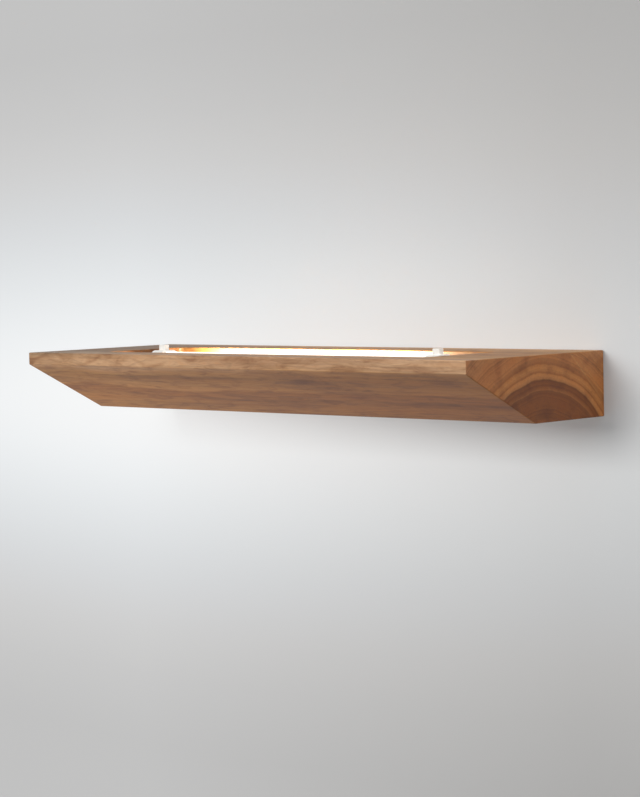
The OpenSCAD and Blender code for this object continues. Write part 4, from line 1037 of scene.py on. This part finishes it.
for x in pole_x:
    combine(body, [rod("clamp_bore", (x, pole_y, -block_z - 1), (x, pole_y, block_z + 1), clamp_bore_r,
                       sides=40)])
    combine(body, [rod("screw_well", (x, pole_y, z), (x, well_front - 1, z), well_bore_r, sides=32)
                   for z in clamp_screw_z])
combine(body, [rod("fixing_hole", (fixing_x, 0, 0), (fixing_x, base_front - 1, 0), fixing_r, sides=24)])

# Moulded polyamide: cream, slightly waxy, with a soft gloss.
nylon = new_material("cream_polyamide")
place = add(nylon, "TexCoord").outputs["Object"]
flow = add(nylon, "TexNoise", Vector=place, Scale=120.0, Detail=3.0)
tone = add(nylon, "ValToRGB", Fac=flow, stops=[(0.3, "dcd8c8"), (0.7, "e8e5d8")])
satin = add(nylon, "MapRange", Value=flow, To_Min=0.32, To_Max=0.48)
relief = add(nylon, "Bump", Strength=0.2, Distance=0.03 * mm,
             Height=add(nylon, "TexNoise", Vector=place, Scale=2200.0, Detail=2.0))
skin = add(nylon, "BsdfPrincipled", Base_Color=tone, Roughness=satin, IOR=1.53, Subsurface_Weight=0.1,
           Subsurface_Scale=1.5 * mm, Normal=relief)
add(nylon, "OutputMaterial", Surface=skin)

finish(body, nylon)
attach(body, "root")
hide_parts("terminal_block")

# Turned brass: warm yellow, with the fine rings of the lathe and a little tarnish.
brass = new_material("turned_brass")
place = add(brass, "TexCoord").outputs["Object"]
tarnish = add(brass, "TexNoise", Vector=place, Scale=220.0, Detail=3.0)
tone = add(brass, "ValToRGB", Fac=tarnish, stops=[(0.3, "b8923f"), (0.6, "cfaa58"), (0.8, "d9b869")])
rings = add(brass, "TexNoise", Scale=1.0, Detail=2.0,
            Vector=add(brass, "Mapping", Vector=place, Scale=(150, 150, 4000)))
satin = add(brass, "MapRange", Value=rings, To_Min=0.24, To_Max=0.42)
relief = add(brass, "Bump", Strength=0.25, Distance=0.02 * mm, Height=rings)
skin = add(brass, "BsdfPrincipled", Base_Color=tone, Metallic=1.0, Roughness=satin, Normal=relief)
add(brass, "OutputMaterial", Surface=skin)

clamp_r, clamp_half, wire_bore_r, tap_r = 2.3, 7.5, 1.3, 1.25
clamp = rod("clamp", (0, 0, -clamp_half), (0, 0, clamp_half), clamp_r, sides=40)
bevel(clamp, 0.2, 2, lambda at, way: abs(at.z) > clamp_half - 0.01)
combine(clamp, [rod("wire_bore", (0, 0, -block_z), (0, 0, block_z), wire_bore_r, sides=32)])
bevel(clamp, 0.2, 2, lambda at, way: abs(at.z) > clamp_half - 0.01 and at.xy.length < wire_bore_r + 0.1)
combine(clamp, [rod("tapped_hole", (0, 0, z), (0, -clamp_r - 0.7, z), tap_r, sides=24)
                for z in clamp_screw_z])
finish(clamp, brass)
place_copies(clamp, "brass_clamp", [(x, pole_y, 0) for x in pole_x], heads_up, "terminal_clamps",
             step=0)

# The clamp screws have no heads: a slot is sawn across the top of the thread itself.
grub_r, grub_l, slot_w, slot_depth = 1.2, 3.7, 0.7, 0.6
grub = threaded("slotted_screw", grub_r, 0, grub_l - slot_depth, pitch=0.5, tip=0)
top = rod("top", (0, 0, grub_l - slot_depth - 0.1), (0, 0, grub_l), grub_r, sides=28)
bevel(top, 0.15, 2, lambda at, way: at.z > grub_l - 0.01)
combine(top, [block("slot", (-2, -slot_w / 2, grub_l - slot_depth), (2, slot_w / 2, grub_l + 1))])
join(grub, top)
finish(grub, zinc)
place_copies(grub, "clamp_screw", [(x, pole_y - wire_bore_r, z) for x in pole_x for z in clamp_screw_z],
             heads_front, "terminal_screws")
screw = make_screw("small_machine_screw", "domed", shank_r=1.2, head_r=1.9, length=4.5, pitch=0.5, tip=0)
finish(screw, zinc)
place_copies(screw, "block_fixing_screw", [(fixing_x, base_front, 0)],
             heads_front, "terminal_fixing_screw")

# ---------------------------------------------------------------------------
# Mains and earth leads: stranded leads in PVC, brown for live, blue for neutral, and green with
# a yellow stripe for earth. The first two run from the block into the driver's mains cap, and
# the third over the cable bush to the earth tag.

lead_r, over_block, half_way_x = 1.1, block_z + bend, -18
for word, x, z, low, high in (("live", pole_x[0], plug_z, "4b2813", "5d341b"),
                              ("neutral", pole_x[1], -plug_z, "1d4a96", "2a5cad")):
    lead = pull_lead(f"mains_lead_{word}_tube", [
        (x, pole_y, block_z - bend), (x, pole_y, block_z + bend / 2),
        (x + bend, pole_y - bend, over_block), (x + 10, pole_y - 10, over_block),
        (half_way_x, driver_y - z / 2, z + bend), (-2 * bend, driver_y, z), (bend - 1, driver_y, z)], lead_r)
    finish(lead, insulation(f"pvc_of_the_{word}_lead", low, high))
    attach(lead, "root")
    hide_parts(f"mains_lead_{word}")

earth_x, tag_y, barrel_top = 8, -3.4, 7.2
lead = pull_lead("earth_lead_tube", [
    (pole_x[2], pole_y, block_z - bend), (pole_x[2], pole_y, block_z + bend / 2),
    (pole_x[2] + bend, pole_y, over_block), (half_way_x, pole_y, over_block),
    (earth_x - 3 * bend, tag_y - bend, over_block), (earth_x - bend / 2, tag_y - 0.1, over_block - 1),
    (earth_x, tag_y, barrel_top + 0.8), (earth_x, tag_y, barrel_top)], lead_r)

# Green PVC with a yellow stripe that winds round the lead once in 25 mm.
striped = insulation("green_and_yellow_pvc", "2f7a34", "3b8a3e")
shader = next(node for node in striped.node_tree.nodes if node.type == "BSDF_PRINCIPLED")
green = shader.inputs["Base Color"].links[0].from_socket
around = add(striped, "SeparateXYZ", Vector=add(striped, "TexCoord").outputs["UV"])
wound = add(striped, "Math", operation="FRACT", i0=add(
    striped, "Math", operation="MULTIPLY_ADD", i0=around.outputs["X"], i1=2.5, i2=around.outputs["Y"]))
stripe = add(striped, "Math", operation="LESS_THAN", i0=wound, i1=0.36)
both = add(striped, "Mix", data_type="RGBA", i0=stripe, i6=green, i7=hex_colour("e2c227"))
striped.node_tree.links.new(next(end for end in both.outputs if end.enabled), shader.inputs["Base Color"])
finish(lead, striped)
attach(lead, "root")
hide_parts("earth_lead")

# ---------------------------------------------------------------------------
# Earth tag and earth screw: a ring terminal stamped from tinned copper, whose barrel is crimped
# round the earth lead, under a brass screw in the wall plate.

tag_front, tag_r, tongue_half, tongue_top, thread_hole_r = -2.3, 4, 1.5, 7, 2.05
barrel_r, barrel_low, mouth_r, dent_half, dent_low, dent_high = 1.3, 4.2, 1.0, 0.45, 5, 6.1
tag = rod("crimped_ring_tag", (earth_x, -plate_t, 0), (earth_x, tag_front, 0), tag_r, sides=56)
tongue = block("tongue", (earth_x - tongue_half, tag_front, 0), (earth_x + tongue_half, -plate_t, tongue_top))
combine(tag, [tongue], "UNION")
bevel(tag, 0.15, 2, lambda at, way: at.y < tag_front + 0.01)
combine(tag, [rod("screw_hole", (earth_x, 0, 0), (earth_x, -4, 0), thread_hole_r, sides=32)])
barrel = rod("barrel", (earth_x, tag_y, barrel_low), (earth_x, tag_y, barrel_top), barrel_r, sides=32)
bevel(barrel, 0.25, 3, lambda at, way: at.z > barrel_top - 0.01)
combine(barrel, [
    rod("mouth", (earth_x, tag_y, barrel_top - 1), (earth_x, tag_y, barrel_top + 0.8), mouth_r, sides=28),
    block("crimp_dent", (earth_x - dent_half, tag_y - 2, dent_low),
          (earth_x + dent_half, tag_y - 1.05, dent_high))])
combine(tag, [barrel], "UNION")

# Tinned copper: a dull warm silver with the soft blotches of dipped tin.
tinned = new_material("tinned_copper")
place = add(tinned, "TexCoord").outputs["Object"]
blotch = add(tinned, "TexNoise", Vector=place, Scale=450.0, Detail=3.0)
tone = add(tinned, "ValToRGB", Fac=blotch, stops=[(0.3, "b4b1a9"), (0.6, "c8c6c0"), (0.8, "d2cec2")])
satin = add(tinned, "MapRange", Value=blotch, To_Min=0.3, To_Max=0.5)
relief = add(tinned, "Bump", Strength=0.3, Distance=0.03 * mm, Height=blotch)
skin = add(tinned, "BsdfPrincipled", Base_Color=tone, Metallic=1.0, Roughness=satin, Normal=relief)
add(tinned, "OutputMaterial", Surface=skin)

finish(tag, tinned)
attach(tag, "root")
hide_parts("earth_tag")
screw = make_screw("brass_machine_screw", "domed", shank_r=2, head_r=3.4, length=2.3, pitch=0.7, tip=0)
finish(screw, brass)
place_copies(screw, "brass_earth_screw", [(earth_x, tag_front, 0)], heads_front, "earth_screw")

# ---------------------------------------------------------------------------
# Cable bush: a snap-in bush moulded in black rubber, which lines the hole in the wall plate
# where the house cable comes out of the wall.

entry_x, entry_z, entry_r, entry_front = -15, -0.5, 5.9, -6
collar_r, collar_front, cable_r = 7.5, -3, 4.5
entry = rod("cable_entry_bush", (entry_x, 0, entry_z), (entry_x, entry_front, entry_z), entry_r, sides=56)
collar = rod("collar", (entry_x, -plate_t, entry_z), (entry_x, collar_front, entry_z), collar_r, sides=64)
bevel(collar, 0.4, 3, lambda at, way: at.y < collar_front + 0.01)
combine(entry, [collar], "UNION")
bevel(entry, 0.5, 4, lambda at, way: at.y < entry_front + 0.01)
combine(entry, [rod("cable_bore", (entry_x, 1, entry_z), (entry_x, entry_front - 1, entry_z), cable_r,
                    sides=48)])
bevel(entry, 0.35, 3, lambda at, way: at.y < entry_front + 0.01
      and abs((at.xz - Vector((entry_x, entry_z))).length - cable_r) < 0.1)
finish(entry, rubber)
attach(entry, "root")
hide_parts("cable_bush")

# ---------------------------------------------------------------------------
# Wall plate: 1.5 mm sheet steel, punched and folded, then zinc-plated. Two slots take the wall
# screws, two hooks at its top edge carry the lamp, and two tapped tabs at its lower edge take
# the screws that lock it.

plate_x, plate_low, ledge_z = 106, -9, 8
hook_half, hook_y, lip_top = 18, -5, 12
tab_half, tab_reach, tab_low, tab_top = 8, -16, plate_low, plate_low + plate_t
slot_x, slot_r, entry_hole_r = 80, 2.5, 6
plate = block("punched_wall_plate", (-plate_x, -plate_t, plate_low), (plate_x, 0, ledge_z))
bevel(plate, 2, 6, lambda at, way: abs(way.y) > 0.99)
for side in (-1, 1):
    low, high = side * hook_x - hook_half, side * hook_x + hook_half
    hook = block("hook", (low, hook_y, ledge_z - plate_t), (high, 0, lip_top))
    combine(hook, [block("throat", (low - 1, hook_y + plate_t, ledge_z), (high + 1, 1, lip_top + 1))])
    bevel(hook, 1.3, 6, lambda at, way: abs(way.x) > 0.99 and at.z < ledge_z - 1 and at.y < hook_y + 1)
    bevel(hook, 1.0, 4, lambda at, way: abs(way.y) > 0.99 and at.z > lip_top - 0.01)
    low, high = side * tab_x - tab_half, side * tab_x + tab_half
    tab = block("tab", (low, tab_reach, tab_low), (high, -0.5, tab_top))
    bevel(tab, 4, 10, lambda at, way: upright(at, way) and at.y < tab_reach + 0.1)
    combine(plate, [hook, tab], "UNION")
# The punches go through the sheet from front to back.
front, back = -2 * plate_t, 1
for side in (-1, 1):
    low, high = side * slot_x - slot_r, side * slot_x + slot_r
    combine(plate, [block("slot", (low, front, -slot_r), (high, back, slot_r))])
    combine(plate, [rod("slot_end", (x, back, 0), (x, front, 0), slot_r, sides=40) for x in (low, high)])
    x = side * tab_x
    combine(plate, [rod("lock_thread", (x, lock_y, tab_low - 2), (x, lock_y, tab_top + plate_t),
                        thread_hole_r, sides=32)])
combine(plate, [
    rod("entry_hole", (entry_x, back, entry_z), (entry_x, front, entry_z), entry_hole_r, sides=64),
    rod("earth_hole", (earth_x, back, 0), (earth_x, front, 0), thread_hole_r, sides=32),
    rod("block_hole", (fixing_x, back, 0), (fixing_x, front, 0), fixing_r, sides=24)])
finish(plate, zinc)
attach(plate, "root")
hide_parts("wall_plate")

# ---------------------------------------------------------------------------
# Hanger angles: two steel angles under the ceiling of the pocket. Their upright flanges hang
# behind the lips of the hooks, and each is held by two countersunk screws.

angle_low_y, angle_high_y, angle_half, flange_z = -19.5, -2, 17, 8
for side, word in ((-1, "left"), (1, "right")):
    low, high = side * hook_x - angle_half, side * hook_x + angle_half
    angle = block(f"folded_hanger_angle_{word}", (low, angle_low_y, flange_z), (high, angle_high_y, pocket_z))
    combine(angle, [block("room", (low - 1, angle_low_y - 1, flange_z - 1),
                          (high + 1, angle_high_y - plate_t, angle_z))])
    bevel(angle, 1.2, 6, lambda at, way: abs(way.x) > 0.99 and at.z > pocket_z - 0.01
          and at.y > angle_high_y - 0.01)
    bevel(angle, 1.5, 5, lambda at, way: upright(at, way) and at.y < angle_low_y + 0.01)
    bevel(angle, 0.12, 1, lambda at, way: abs(way.x) > 0.99 and at.z < flange_z + 0.01)
    y, under = angle_screw_y, angle_z - 0.5
    for x in (side * hook_x - angle_screw_dx, side * hook_x + angle_screw_dx):
        combine(angle, [
            rod("hole", (x, y, under - 1), (x, y, pocket_z + 1), pilot_r, sides=24),
            rod("sink", (x, y, under + sink_r - pilot_r), (x, y, under), pilot_r, sink_r, sides=40)])
    finish(angle, zinc)
    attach(angle, "root")
    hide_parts(f"hanger_angle_{word}")

screw = make_screw("sunk_angle_screw", "sunk", length=8, **wood_screw)
finish(screw, zinc)
place_copies(screw, "angle_screw", [(side * hook_x + x, angle_screw_y, angle_z) for side in (-1, 1)
                                    for x in (-angle_screw_dx, angle_screw_dx)],
             heads_down, "hanger_screws")

# Lock screws: two machine screws that come up through the timber from below into the tabs of
# the wall plate. Their heads lie deep in counterbores.
screw = make_screw("locking_machine_screw", "domed", shank_r=2, head_r=3.8, length=14, pitch=0.7, tip=0)
finish(screw, zinc)
place_copies(screw, "locking_screw", [(side * tab_x, lock_y, lock_seat_z) for side in (-1, 1)],
             heads_down, "lock_screws")
